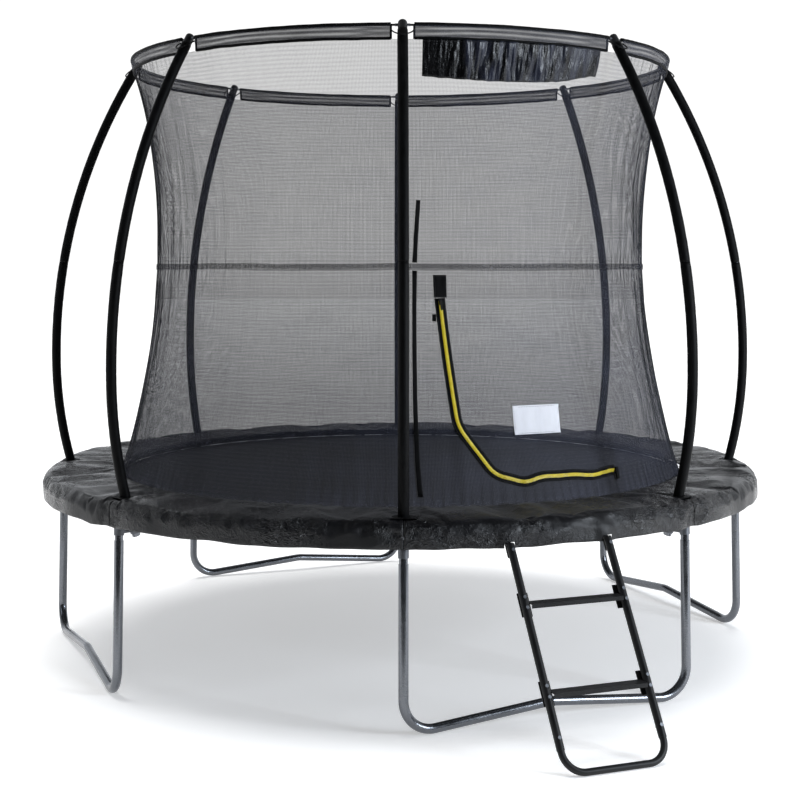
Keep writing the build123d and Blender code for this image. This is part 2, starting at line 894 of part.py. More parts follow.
def make_ladder_rail(side):
    lateral = side * ladder_spacing / 2
    start = (lateral, -ladder_tube_start, ladder_offset())
    end = (lateral, -ladder_tube_end, ladder_offset())
    tube = pipe_between(start, end, ladder_tube_radius, ladder_tube_radius - ladder_tube_wall)
    return placed_on_ladder(drilled(tube))


def make_ladder_loop():
    """U-shaped foot, plugged into both rails."""
    half = ladder_spacing / 2
    top = -(ladder_tube_end - loop_insert)
    bottom = -floor_distance()
    lift = ladder_offset()
    path = FilletPolyline(
        (-half, top, lift),
        (-half, bottom, lift),
        (half, bottom, lift),
        (half, top, lift),
        radius=[loop_bend_radius, loop_bend_radius],
    )
    tube = swept_pipe(Wire(path.edges()), loop_radius, loop_radius - loop_wall)
    return placed_on_ladder(drilled(tube))


def make_ladder_step(distance):
    """Level tread with turned-down edges, welded to a plate behind each rail."""
    half = ladder_spacing / 2
    tread_half = half - ladder_tube_radius - fit_gap
    lift = ladder_offset()
    back = lift - ladder_tube_radius - flange_thickness
    lip_height = step_lip + step_sheet
    sheet = Pos(0, 0, -step_sheet / 2) * Box(2 * tread_half, step_depth, step_sheet)
    lips = [
        Pos(0, edge * (step_depth - step_sheet) / 2, -lip_height / 2)
        * Box(2 * tread_half, step_sheet, lip_height)
        for edge in (-1, 1)
    ]
    channel = sheet + lips[0] + lips[1]
    # the tread turns about the rails' width, back to level from square to the ladder
    level = Location((0, -distance, lift + 4), (-90 + ladder_lean, 0, 0))
    tread = level * channel
    behind = Pos(0, -distance, back - 50) * Box(2 * half + 100, 300, 100)
    tread = tread - behind
    plates = [
        Pos(side * (half - 6), -distance, back + flange_thickness / 2)
        * Box(flange_width, flange_height, flange_thickness)
        for side in (-1, 1)
    ]
    return placed_on_ladder(drilled(tread + plates[0] + plates[1]))


def ladder_bolt(lateral, distance, back_reach):
    """Bolt square to the ladder, with a head in front and a nut behind."""
    front = ladder_offset() + ladder_tube_radius + seat_gap
    back = ladder_offset() - ladder_tube_radius - back_reach - seat_gap
    head_top = (lateral, -distance, front + bolt_head_height)
    nut_end = (lateral, -distance, back - 2 * bolt_head_height)
    shank = rod_between((lateral, -distance, back), (lateral, -distance, front), bolt_shank_radius)
    head = rod_between((lateral, -distance, front), head_top, bolt_head_radius)
    nut = rod_between(nut_end, (lateral, -distance, back), bolt_head_radius)
    return placed_on_ladder(shank + head + nut)


def make_ladder_bolts():
    bolts = []
    for side in (-1, 1):
        lateral = side * ladder_spacing / 2
        hook_place, loop_place, *step_places = bolt_distances()
        bolts.append(ladder_bolt(lateral, hook_place, hook_thickness))
        bolts.append(ladder_bolt(lateral, loop_place, 0.0))
        bolts += [ladder_bolt(lateral, place, flange_thickness) for place in step_places]
    return bolts


def make_ladder_hook(side):
    """Flat bar that follows the rail's back side over the top, with a short lip."""
    lateral = side * ladder_spacing / 2
    inner = hook_inner_radius()
    outer = inner + hook_thickness
    ring = Circle(outer) - Circle(inner)
    upper = ring & (Pos(0, outer) * Rectangle(4 * outer, 2 * outer))
    middle = (inner + outer) / 2
    tail = Pos(middle, -hook_tail / 2) * Rectangle(hook_thickness, hook_tail)
    lip = Pos(-middle, -hook_lip / 2) * Rectangle(hook_thickness, hook_lip)
    # the outline's x is the ladder's outward direction, its y is up the ladder
    side_plane = Plane(
        origin=(lateral + hook_width / 2, 0, 0), x_dir=(0, 0, 1), z_dir=(-1, 0, 0)
    )
    hook = extrude(side_plane * (upper + tail + lip), hook_width)
    return placed_on_ladder(drilled(hook))


# ------------------------------------------------------------ write every node
def write_frame():
    save(each_bay(make_rail()), "frame_rails")
    save(each_bay(make_t_joint()), "t_joints")
    save(each_bay(make_leg_post()), "leg_posts")
    base = make_leg_base()
    for number, azimuth in enumerate(leg_pair_bays, start=1):
        save([turned(base, azimuth)], f"leg_base_{number}")
    save(each_bay(make_pole_clamp()), "pole_clamps")
    screws = each_bay(make_joint_screw(-1)) + each_bay(make_joint_screw(1))
    bolts = each_bay(make_clamp_bolt())
    buttons = each_bay(make_snap_button())
    save(screws, "frame_screws")
    save(bolts, "clamp_bolts")
    save(buttons, "snap_buttons")


def write_poles():
    half_gap = sleeve_split_gap / 2
    save(each_bay(make_pole_lower_tube()), "pole_lower_tubes")
    save(each_bay(make_pole_upper_tube()), "pole_upper_tubes")
    lower = make_pole_sleeve(sleeve_foot_height, pole_split_height - half_gap)
    upper = make_pole_sleeve(pole_split_height + half_gap, sleeve_top_height)
    save(each_bay(lower), "lower_pole_sleeves")
    save(each_bay(upper), "upper_pole_sleeves")
    save(each_bay(make_pole_cap()), "pole_caps")
    save(each_bay(make_ring_rod()), "ring_rods")
    save(each_bay(make_ferrule()), "rod_ferrules")


def write_net():
    panel = make_net_panel()
    for number in range(bay_count):
        save([turned(panel, -90 + number * bay_angle)], f"net_panel_{number + 1}")
    save(each_bay(make_net_belt()), "net_belt")
    save(each_bay(make_net_tunnel()), "net_tunnels")
    save(each_bay(make_pole_tie()), "pole_ties")
    save([make_net_hem()], "net_hem")
    above_belt = belt_height + belt_width / 2 + 1
    below_belt = belt_height - belt_width / 2 - 1
    straps = [
        make_net_strap(strap_top[1], above_belt),
        make_net_strap(below_belt, strap_foot[1]),
    ]
    save(straps, "net_strap")
    save([make_label()], "blank_label")
    save([make_banner()], "banner")


def write_zip():
    save([make_zip_tape()], "zip_tape")
    save([make_zip_teeth()], "zip_teeth")
    save([make_zip_slider()], "zip_slider")
    save([make_zip_pull()], "zip_pull")
    save([make_zip_patch()], "zip_top_patch")
    save([make_end_clip(), make_buckle()], "door_clips")


def write_mat():
    save([make_mat()], "jump_mat")
    save([make_mat_webbing()], "mat_webbing")
    save(at_each_spring(make_v_ring()), "v_rings")
    save(at_each_spring(make_spring()), "springs")


def write_cover():
    segment = make_pad_segment()
    for number in range(bay_count):
        start = -90 + number * bay_angle
        piece = turned(segment, start)
        if start < ladder_azimuth < start + bay_angle:
            piece = cut_for_ladder(piece)
        save([piece], f"pad_segment_{number + 1}")
    straps = []
    for azimuth in (bay_angle / 2 - pad_strap_offset, bay_angle / 2 + pad_strap_offset):
        straps += each_bay(make_pad_strap(azimuth))
    save(straps, "pad_straps")


def write_ladder():
    save([make_ladder_rail(-1)], "ladder_rail_left")
    save([make_ladder_rail(1)], "ladder_rail_right")
    save([make_ladder_loop()], "ladder_loop")
    save([make_ladder_step(step_distances[0])], "upper_step")
    save([make_ladder_step(step_distances[1])], "lower_step")
    save([make_ladder_hook(-1), make_ladder_hook(1)], "ladder_hooks")
    save(make_ladder_bolts(), "ladder_bolts")


write_frame()
write_poles()
write_net()
write_zip()
write_mat()
write_cover()
write_ladder()
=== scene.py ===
import math

import bmesh
import bpy
import numpy as np
from mathutils import Matrix, Vector, noise


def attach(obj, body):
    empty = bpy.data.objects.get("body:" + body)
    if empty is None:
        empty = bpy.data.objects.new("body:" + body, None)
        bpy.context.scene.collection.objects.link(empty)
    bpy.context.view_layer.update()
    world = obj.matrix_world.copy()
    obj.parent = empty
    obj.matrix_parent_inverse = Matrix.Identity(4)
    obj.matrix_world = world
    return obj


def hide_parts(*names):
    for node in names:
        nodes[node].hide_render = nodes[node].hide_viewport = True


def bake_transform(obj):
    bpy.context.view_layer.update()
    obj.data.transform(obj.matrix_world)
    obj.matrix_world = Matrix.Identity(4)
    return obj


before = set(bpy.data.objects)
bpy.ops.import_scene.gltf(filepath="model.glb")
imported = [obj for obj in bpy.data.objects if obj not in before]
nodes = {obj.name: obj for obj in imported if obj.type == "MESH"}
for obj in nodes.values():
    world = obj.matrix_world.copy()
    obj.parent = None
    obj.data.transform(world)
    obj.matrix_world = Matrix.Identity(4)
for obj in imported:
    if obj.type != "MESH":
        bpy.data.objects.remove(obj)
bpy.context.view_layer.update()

# ---- sizes, in metres
BAYS = 8
BAY = math.tau / BAYS
FIRST = math.radians(-90)
WAIST_R, WAIST_Z = 1.057, 1.820
LOWER_FLARE, UPPER_FLARE = 3.400, 2.290
NET_LOW, NET_TOP = 0.745, 2.457
ROD_R, ROD_Z = 1.1532, 2.506
MAT_R, CLOTH_R, MAT_Z = 1.235, 1.2205, 0.740
BELLY_R, BELLY_Z = 1.531, 1.207
POLE_LOW_CURVE, POLE_HIGH_CURVE = 1.748, 2.397
DOOR_AZ = math.radians(-67.5)
LADDER_AZ = math.radians(-69.5)
BAY_STARTS = [FIRST + bay * BAY for bay in range(BAYS)]
POLE_AZIMUTHS = [bay * BAY for bay in range(BAYS)]
POLE_SLEEVE_R = 0.0198
SKIRT_IN = 1.53
HOOK_SIDE, HOOK_SLOT = 0.190, 0.0190
SKIRT_FADE = (0.768, 0.740)
SLOT_TOP, FLAP_FOOT, FLAP_FOLD = 0.738, 0.693, 0.728
ON_NET = 0.0022


# ---- node helpers
def new_material(name):
    made = bpy.data.materials.new(name)
    made.use_nodes = True
    tree = made.node_tree
    tree.nodes.clear()
    out = tree.nodes.new("ShaderNodeOutputMaterial")
    shader = tree.nodes.new("ShaderNodeBsdfPrincipled")
    tree.links.new(shader.outputs[0], out.inputs[0])
    return made, tree, shader


def add(tree, kind, links=None, **values):
    """One node; values go to its properties or its input sockets, links to its sockets."""
    made = tree.nodes.new(kind)
    for name, value in values.items():
        if hasattr(made, name):
            setattr(made, name, value)
        else:
            made.inputs[name.replace("_", " ")].default_value = value
    for socket, source in (links or {}).items():
        tree.links.new(source, made.inputs[socket])
    return made


def fix(node, **values):
    """Plain values for a node's named input sockets."""
    for name, value in values.items():
        node.inputs[name.replace("_", " ")].default_value = value


def feed(tree, node, **sources):
    """Links from outputs to a node's named input sockets."""
    for name, source in sources.items():
        tree.links.new(source, node.inputs[name.replace("_", " ")])


def coords(tree, uv=False, scale=(1, 1, 1)):
    """Object coordinates, or the piece's own UV map, through a Mapping node."""
    source = add(tree, "ShaderNodeTexCoord")
    mapping = add(tree, "ShaderNodeMapping", {"Vector": source.outputs["UV" if uv else "Object"]})
    fix(mapping, Scale=scale)
    return mapping.outputs[0]


def noise_tex(tree, vector, scale, detail=4.0, roughness=0.55, distortion=0.0):
    values = {"Scale": scale, "Detail": detail, "Roughness": roughness, "Distortion": distortion}
    return add(tree, "ShaderNodeTexNoise", {"Vector": vector}, **values)


def ramp(tree, factor, low, high, low_at=0.3, high_at=0.7):
    """A two-stop ramp; each stop is a colour or one grey value."""
    made = add(tree, "ShaderNodeValToRGB", {"Fac": factor})
    for stop, value, at in zip(made.color_ramp.elements, (low, high), (low_at, high_at)):
        stop.position = at
        stop.color = (*value, 1) if hasattr(value, "__len__") else (value, value, value, 1)
    return made.outputs[0]


def map_range(tree, value, low, high, to_low=0.0, to_high=1.0):
    made = add(tree, "ShaderNodeMapRange", {"Value": value}, clamp=True)
    fix(made, From_Min=low, From_Max=high, To_Min=to_low, To_Max=to_high)
    return made.outputs[0]


def axis(tree, vector, number):
    return add(tree, "ShaderNodeSeparateXYZ", {"Vector": vector}).outputs[number]


def relief(tree, height, strength, distance, onto=None):
    """A bump's normal, laid over another normal if one is given."""
    made = add(tree, "ShaderNodeBump", {"Height": height}, Strength=strength, Distance=distance)
    if onto is not None:
        feed(tree, made, Normal=onto)
    return made.outputs[0]


def maths(tree, operation, a, b=None):
    made = add(tree, "ShaderNodeMath", operation=operation)
    for slot, value in ((0, a), (1, b)):
        if isinstance(value, (int, float)):
            made.inputs[slot].default_value = value
        elif value is not None:
            tree.links.new(value, made.inputs[slot])
    return made.outputs[0]


def off_middle(tree, value):
    """How far a noise value lies from its middle, with its sign."""
    return maths(tree, "SUBTRACT", value, 0.5)


def product(tree, a, b):
    return maths(tree, "MULTIPLY", a, b)


def total(tree, a, b):
    return maths(tree, "ADD", a, b)


# ---- finishes
def galvanised_steel(name, tone, roughness, metallic=0.88):
    """Hot-dip zinc: cloudy spangle, faint drawn lines and duller patches."""
    made, tree, shader = new_material(name)
    place = coords(tree)
    clouds = noise_tex(tree, place, 9, 5, 0.6).outputs[0]
    spangle = add(tree, "ShaderNodeTexVoronoi", {"Vector": place}, Scale=120).outputs[0]
    mixed = add(tree, "ShaderNodeMix", {"Factor": clouds}, data_type="RGBA")
    mixed.inputs[6].default_value = (tone * 0.80, tone * 0.84, tone * 0.92, 1)
    mixed.inputs[7].default_value = (tone * 1.12, tone * 1.16, tone * 1.22, 1)
    tint = add(tree, "ShaderNodeMix", {"Factor": spangle}, data_type="RGBA")
    tint.blend_type = "MULTIPLY"
    tree.links.new(mixed.outputs[2], tint.inputs[6])
    tint.inputs[7].default_value = (0.86, 0.87, 0.9, 1)
    dull = ramp(tree, clouds, roughness - 0.07, roughness + 0.12)
    feed(tree, shader, Base_Color=tint.outputs[2], Roughness=dull)
    fix(shader, Metallic=metallic)
    feed(tree, shader, Normal=relief(tree, spangle, 0.12, 0.0006))
    return made


def powder_coat(name, tone=0.007):
    """Semi-gloss black powder coat with fine orange peel and rubbed, paler dust."""
    made, tree, shader = new_material(name)
    place = coords(tree)
    dust = noise_tex(tree, place, 14, 6, 0.6).outputs[0]
    colour = ramp(tree, dust, (tone, tone, tone * 1.05), (tone * 2.1, tone * 2.1, tone * 2.2))
    peel = noise_tex(tree, place, 420, 2, 0.5).outputs[0]
    feed(tree, shader, Base_Color=colour, Roughness=ramp(tree, dust, 0.36, 0.50))
    feed(tree, shader, Normal=relief(tree, peel, 0.16, 0.0004))
    fix(shader, Specular_IOR_Level=0.24)
    return made


def moulded_plastic(name, tone=0.02, roughness=0.45):
    made, tree, shader = new_material(name)
    place = coords(tree)
    grain = noise_tex(tree, place, 900, 2, 0.6).outputs[0]
    scuffs = noise_tex(tree, place, 40, 5, 0.65).outputs[0]
    colour = ramp(tree, scuffs, (tone, tone, tone), (tone * 1.8, tone * 1.8, tone * 1.9))
    dull = ramp(tree, scuffs, roughness - 0.06, roughness + 0.1)
    feed(tree, shader, Base_Color=colour, Roughness=dull, Normal=relief(tree, grain, 0.25, 0.0003))
    return made


def coated_cover(name, tone=0.0032, roughness=0.20):
    """PVC-coated cloth with a soft gloss: smooth stretches and patches of sharp fine crinkles."""
    made, tree, shader = new_material(name)
    place = coords(tree)
    soft = noise_tex(tree, place, 9, 3, 0.5, 0.6).outputs[0]
    fine = noise_tex(tree, place, 46, 4, 0.55, 1.3).outputs[0]
    patches = noise_tex(tree, place, 3.2, 2, 0.5).outputs[0]
    ridges = maths(tree, "ABSOLUTE", off_middle(tree, fine))
    crinkles = product(tree, ridges, ramp(tree, patches, 0.10, 1.0, 0.40, 0.58))
    weave = add(tree, "ShaderNodeTexVoronoi", {"Vector": place}, Scale=900).outputs[0]
    colour = ramp(tree, soft, (tone, tone, tone * 1.15), (tone * 1.7, tone * 1.75, tone * 2.2))
    skirt = map_range(tree, axis(tree, place, 2), *SKIRT_FADE)
    smooth = ramp(tree, patches, 1.0, 0.0, 0.42, 0.60)
    dulled = product(tree, total(tree, product(tree, skirt, 0.22), 0.12), smooth)
    folded = relief(tree, crinkles, 1.0, 0.015, relief(tree, soft, 0.22, 0.02))
    feed(tree, shader, Base_Color=colour, Roughness=total(tree, dulled, roughness))
    feed(tree, shader, Normal=relief(tree, weave, 0.08, 0.0003, folded))
    fix(shader, Specular_IOR_Level=0.46)
    return made


def woven(name, tone=0.012, pitch=1 / 0.0016, roughness=0.6, sheen=0.25, high=None):
    """Plain-woven webbing or cloth: two crossed ribs, slight colour streaks and a soft sheen."""
    made, tree, shader = new_material(name)
    threads = {"Scale": pitch / 6.283, "Distortion": 0.3}
    place = coords(tree, uv=True)
    warp = add(tree, "ShaderNodeTexWave", {"Vector": place}, **threads)
    weft = add(tree, "ShaderNodeTexWave", {"Vector": place}, bands_direction="Y", **threads)
    rib = product(tree, warp.outputs["Fac"], weft.outputs["Fac"])
    streak = noise_tex(tree, coords(tree, scale=(1, 1, 0.2)), 60, 4, 0.6).outputs[0]
    top = high if high is not None else tone * 2.3
    colour = ramp(tree, streak, (tone, tone, tone * 1.04), (top, top, top * 1.05))
    dull = ramp(tree, streak, roughness - 0.08, roughness + 0.12)
    feed(tree, shader, Base_Color=colour, Roughness=dull, Normal=relief(tree, rib, 0.35, 0.0006))
    fix(shader, Specular_IOR_Level=0.08, Sheen_Weight=sheen, Sheen_Roughness=0.4)
    return made


def open_mesh(name, thread, cover, rows_at=0.0155, contrast=0.15, denser_low=0.0):
    """See-through knitted mesh: courses of holes whose density drifts from row to row."""
    made, tree, shader = new_material(name)
    place = coords(tree, uv=True)
    wander = noise_tex(tree, coords(tree, uv=True, scale=(1.0, 2.0, 1)), 2.0, 1, 0.4)
    ends = {0: wander.outputs["Color"], 2: place}
    bent = add(tree, "ShaderNodeVectorMath", ends, operation="MULTIPLY_ADD")
    bent.inputs[1].default_value = (0.0, 0.016, 0)
    row_scale = 1 / rows_at / 6.283 * 2
    waves = {"Scale": row_scale, "Distortion": 0.12, "Detail": 0.0, "bands_direction": "Y"}
    courses = add(tree, "ShaderNodeTexWave", {"Vector": bent.outputs[0]}, **waves)
    fix(courses, Detail_Scale=0.4)
    patches = noise_tex(tree, coords(tree, uv=True, scale=(0.5, 1.8, 1)), 6, 3, 0.5).outputs[0]
    ticks = noise_tex(tree, coords(tree, uv=True, scale=(0.05, 1.0, 1)), 130, 2, 0.6).outputs[0]
    row_share = off_middle(tree, courses.outputs["Fac"])
    rows = product(tree, row_share, product(tree, patches, contrast * 2))
    grain = product(tree, off_middle(tree, ticks), contrast * 0.9)
    drift = product(tree, off_middle(tree, patches), 0.07)
    density = total(tree, total(tree, rows, grain), total(tree, drift, cover))
    down = axis(tree, add(tree, "ShaderNodeTexCoord").outputs["UV"], 1)
    density = total(tree, density, map_range(tree, down, -0.75, -1.55, 0.0, denser_low))
    held = add(tree, "ShaderNodeClamp", {"Value": density}, Min=0.05, Max=0.95)
    dark = (thread, thread * 1.08, thread * 1.6)
    pale = (thread * 1.8, thread * 1.95, thread * 2.9)
    feed(tree, shader, Alpha=held.outputs[0], Base_Color=ramp(tree, patches, dark, pale))
    feed(tree, shader, Normal=relief(tree, courses.outputs["Fac"], 0.2, 0.001))
    fix(shader, Roughness=0.7, Specular_IOR_Level=0.3)
    return made


def crinkled_nylon(name, tone=0.0024):
    """Coated nylon: long upright creases, with small sharp crossings between them. The creases carry painted
    pale bluish highlights, and the left end is painted in shade.
    """
    made, tree, shader = new_material(name)
    tall = coords(tree, uv=True, scale=(1, 0.16, 1))
    creases = noise_tex(tree, tall, 24, 4, 0.55, 0.8).outputs[0]
    fine = noise_tex(tree, coords(tree, uv=True), 170, 4, 0.6, 1.2).outputs[0]
    sharp = maths(tree, "ABSOLUTE", off_middle(tree, creases))
    # painted shade: the colour stays dark over the banner's left end, fading in between 0.10 and 0.16 m along
    # it
    painted_left_shade = map_range(tree, axis(tree, coords(tree, uv=True), 0), 0.10, 0.16)
    dark = (tone, tone, tone * 1.2)
    # pale is a painted highlight colour, bluish, for the creases
    pale = (tone * 12, tone * 13.5, tone * 21)
    # painted highlights: the crease noise lifts the colour towards pale, except where the left end is painted
    # in shade
    colour = ramp(tree, product(tree, creases, painted_left_shade), dark, pale, 0.42, 0.64)
    feed(tree, shader, Base_Color=colour, Roughness=ramp(tree, fine, 0.20, 0.36))
    folded = relief(tree, sharp, 0.8, 0.012)
    feed(tree, shader, Normal=relief(tree, fine, 0.3, 0.002, folded))
    fix(shader, Specular_IOR_Level=0.4)
    return made


def yellow_coil(name):
    made, tree, shader = new_material(name)
    wear = noise_tex(tree, coords(tree), 60, 4, 0.6).outputs[0]
    colour = ramp(tree, wear, (0.80, 0.60, 0.02), (0.95, 0.78, 0.06))
    dull = ramp(tree, wear, 0.35, 0.5)
    feed(tree, shader, Base_Color=colour, Roughness=dull, Normal=relief(tree, wear, 0.2, 0.0005))
    return made


galvanised = galvanised_steel("galvanised_steel", 0.18, 0.19)
# The rails' zinc is painted near-white and barely metallic: a painted reflection, far paler than the legs'
# galvanised steel.
painted_reflection_rail_zinc = galvanised_steel("rail_zinc_painted_reflection", 0.9, 0.4, 0.25)
zinc_plate = galvanised_steel("zinc_plate", 0.42, 0.3)
dark_zinc = galvanised_steel("dull_clamp_steel", 0.16, 0.45)
spring_steel = galvanised_steel("spring_steel", 0.40, 0.28)
powder_black = powder_coat("black_powder_coat")
black_oxide = powder_coat("black_oxide_bolt", 0.012)
cap_plastic = moulded_plastic("cap_plastic", 0.014)
rod_gloss = moulded_plastic("glass_fibre_rod", 0.012, 0.3)
cover_vinyl = coated_cover("glossy_cover")
foam_sleeve = woven("pole_sleeve_cloth", 0.003, 1 / 0.0012, 0.45, 0.0)
webbing = woven("black_webbing", 0.004, 1 / 0.0018, 0.62, 0.0)
mat_cloth = woven("jump_mat_cloth", 0.010, 1 / 0.0024, 0.5, 0.03)
elastic = woven("covered_elastic", 0.006, 1 / 0.0010, 0.6, 0.03)
label_cloth = woven("blank_label_cloth", 0.90, 1 / 0.0009, 0.7, 0.0, 0.95)
stitch_thread = woven("stitch_thread", 0.03, 1 / 0.0006, 0.6, 0.2)
net_gauze = open_mesh("net_gauze", 0.026, 0.405, contrast=0.06, denser_low=0.20)
belt_gauze = open_mesh("belt_gauze", 0.012, 0.24, 0.006, 0.16)
tunnel_gauze = open_mesh("tunnel_gauze", 0.016, 0.64, 0.007, 0.34)
net_cord = woven("net_cord", 0.008, 1 / 0.0006, 0.65, 0.1)
nylon = crinkled_nylon("banner_nylon")
zip_yellow = yellow_coil("zip_coil")

NODE_FINISH = (
    (painted_reflection_rail_zinc, "frame_rails"),
    (galvanised, "t_joints leg_posts leg_base_1 leg_base_2 leg_base_3 leg_base_4"),
    (galvanised, "pole_lower_tubes pole_upper_tubes"),
    (dark_zinc, "pole_clamps ladder_bolts"),
    (zinc_plate, "frame_screws snap_buttons rod_ferrules"),
    (black_oxide, "clamp_bolts zip_slider zip_pull"),
    (cap_plastic, "pole_caps"),
    (rod_gloss, "ring_rods"),
    (spring_steel, "v_rings"),
    (mat_cloth, "mat_webbing"),
    (webbing, "door_clips"),
    (elastic, "pad_straps"),
    (powder_black, "ladder_rail_left ladder_rail_right ladder_loop ladder_hooks"),
    (powder_black, "upper_step lower_step"),
)
for finish, names in NODE_FINISH:
    for node_name in names.split():
        mesh = nodes[node_name].data
        mesh.materials.clear()
        mesh.materials.append(finish)


# ---- shapes
def new_object(name, data):
    made = bpy.data.objects.new(name, data)
    bpy.context.scene.collection.objects.link(made)
    return made


def net_radius(z, off=0.0):
    flare = LOWER_FLARE if z < WAIST_Z else UPPER_FLARE
    return WAIST_R + flare - math.sqrt((flare - off) ** 2 - (z - WAIST_Z) ** 2)


def polar(radius, azimuth, z):
    return Vector((radius * math.cos(azimuth), radius * math.sin(azimuth), z))


def turned(x, y, z, azimuth):
    """A point given outward, sideways and up at azimuth zero, turned about +Z."""
    c, s = math.cos(azimuth), math.sin(azimuth)
    return (x * c - y * s, x * s + y * c, z)


def directions(azimuth):
    """Unit vectors outward and sideways at an azimuth."""
    out = polar(1, azimuth, 0)
    return out, Vector((-out.y, out.x, 0))


def weave(across, down):
    """Cloth coordinates of a grid of points at even steps, in metres."""
    return lambda i, j: (i * across, j * down)


def thicken(piece, thickness, offset=1.0):
    shell = piece.modifiers.new("cloth", "SOLIDIFY")
    shell.thickness = thickness
    shell.offset = offset


def pole_point(z):
    curve = POLE_LOW_CURVE if z < BELLY_Z else POLE_HIGH_CURVE
    return Vector((BELLY_R - curve + math.sqrt(curve**2 - (z - BELLY_Z) ** 2), 0, z))


def smoothstep(low, high, x):
    t = min(1.0, max(0.0, (x - low) / (high - low)))
    return t * t * (3 - 2 * t)


def mesh_object(name, points, faces, finish, uv=None, smooth=True):
    """A mesh piece whose place is in its points. uv is one pair per point."""
    mesh = bpy.data.meshes.new(name)
    mesh.from_pydata([tuple(p) for p in points], [], faces)
    mesh.update()
    if uv is not None:
        layer = mesh.uv_layers.new(name="weave")
        flat = [c for loop in mesh.loops for c in uv[loop.vertex_index]]
        layer.data.foreach_set("uv", flat)
    if smooth:
        mesh.polygons.foreach_set("use_smooth", [True] * len(mesh.polygons))
    mesh.materials.append(finish)
    return new_object(name, mesh)


def sheet_piece(name, rows, finish, flat=None, closed=False, thickness=0.0):
    """A surface through rows of points. flat(i, j) gives the cloth's own coordinates in metres."""
    across, down = len(rows), len(rows[0])
    points = [p for row in rows for p in row]
    wraps = across if closed else across - 1
    faces = []
    for i in range(wraps):
        for j in range(down - 1):
            a, b = i * down + j, ((i + 1) % across) * down + j
            faces.append((a, b, b + 1, a + 1))
    uv = [flat(i, j) for i in range(across) for j in range(down)] if flat else None
    made = mesh_object(name, points, faces, finish, uv)
    if thickness:
        thicken(made, thickness)
    return made


def tube_piece(name, path, radii, finish, sides=12, capped=True):
    """A round tube along a path; radii is one radius or one per point."""
    path = [Vector(p) for p in path]
    radii = [radii] * len(path) if isinstance(radii, (int, float)) else radii
    points, faces, uv = [], [], []
    tangent = (path[1] - path[0]).normalized()
    side = tangent.orthogonal().normalized()
    travelled = 0.0
    for i, centre in enumerate(path):
        ahead = path[min(i + 1, len(path) - 1)] - path[max(i - 1, 0)]
        turned = ahead.normalized()
        side = (side - turned * side.dot(turned)).normalized()
        up = turned.cross(side)
        if i:
            travelled += (centre - path[i - 1]).length
        for k in range(sides):
            angle = math.tau * k / sides
            points.append(centre + (side * math.cos(angle) + up * math.sin(angle)) * radii[i])
            uv.append((radii[i] * angle, travelled))
    for i in range(len(path) - 1):
        for k in range(sides):
            a, b = i * sides + k, i * sides + (k + 1) % sides
            faces.append((a, b, b + sides, a + sides))
    if capped:
        faces.append(tuple(reversed(range(sides))))
        last = (len(path) - 1) * sides
        faces.append(tuple(range(last, last + sides)))
    return mesh_object(name, points, faces, finish, uv)


def mark(piece, stands_for):
    """Hide the construction parts the piece is shown in place of, and return the piece."""
    if stands_for:
        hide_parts(*stands_for)
    return piece


def put(piece, body, stands_for=()):
    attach(piece, body)
    return mark(piece, stands_for)


def net_blend(piece, stands_for=()):
    """Bake the piece's place into its points and hide the parts it stands for."""
    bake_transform(piece)
    return mark(piece, stands_for)


def hash_noise(x, y, z=0.0):
    return noise.noise(Vector((x, y, z)))


# ---- repeated shapes by nodes
def node_group(name, **lengths):
    """An empty Geometry Nodes tree with named number inputs and a Finish material."""
    tree = bpy.data.node_groups.new(name, "GeometryNodeTree")
    for way in ("INPUT", "OUTPUT"):
        tree.interface.new_socket("Geometry", in_out=way, socket_type="NodeSocketGeometry")
    for label, value in lengths.items():
        made = tree.interface.new_socket(label, in_out="INPUT", socket_type="NodeSocketFloat")
        made.default_value = value
    tree.interface.new_socket("Finish", in_out="INPUT", socket_type="NodeSocketMaterial")
    start = tree.nodes.new("NodeGroupInput")
    end = tree.nodes.new("NodeGroupOutput")
    return tree, start.outputs, end


def place_copies(tree, inputs, end, links):
    """Set an item on points as real geometry in the tree's finish; links says which and where."""
    placed = add(tree, "GeometryNodeInstanceOnPoints", links)
    real = add(tree, "GeometryNodeRealizeInstances", {"Geometry": placed.outputs[0]})
    dressed = add(tree, "GeometryNodeSetMaterial", {"Geometry": real.outputs[0]})
    feed(tree, dressed, Material=inputs["Finish"])
    tree.links.new(dressed.outputs[0], end.inputs[0])
    return tree


def spaced_on_line(tree, inputs, item):
    """Links that set an item along the base line, one every Pitch."""
    curve = add(tree, "GeometryNodeMeshToCurve", {"Mesh": inputs["Geometry"]})
    spaced = add(tree, "GeometryNodeCurveToPoints", {"Curve": curve.outputs[0]}, mode="LENGTH")
    feed(tree, spaced, Length=inputs["Pitch"])
    return {"Points": spaced.outputs["Points"], "Instance": item, "Rotation": spaced.outputs["Rotation"]}


def stitch_tree():
    """Short thread dashes along a line."""
    tree, inputs, end = node_group("stitch_row", Pitch=0.008, Length=0.005, Thread=0.0007)
    dash = add(tree, "GeometryNodeMeshCylinder", Vertices=5)
    feed(tree, dash, Radius=inputs["Thread"], Depth=inputs["Length"])
    return place_copies(tree, inputs, end, spaced_on_line(tree, inputs, dash.outputs["Mesh"]))


def teeth_tree():
    """A coil zip: small blocks across a line, one every pitch."""
    tree, inputs, end = node_group("coil_teeth", Pitch=0.0032, Width=0.007, Height=0.0016)
    shorter = product(tree, inputs["Pitch"], 0.72)
    sizes = {0: inputs["Height"], 1: inputs["Width"], 2: shorter}
    size = add(tree, "ShaderNodeCombineXYZ", sizes)
    tooth = add(tree, "GeometryNodeMeshCube", {"Size": size.outputs[0]})
    return place_copies(tree, inputs, end, spaced_on_line(tree, inputs, tooth.outputs["Mesh"]))


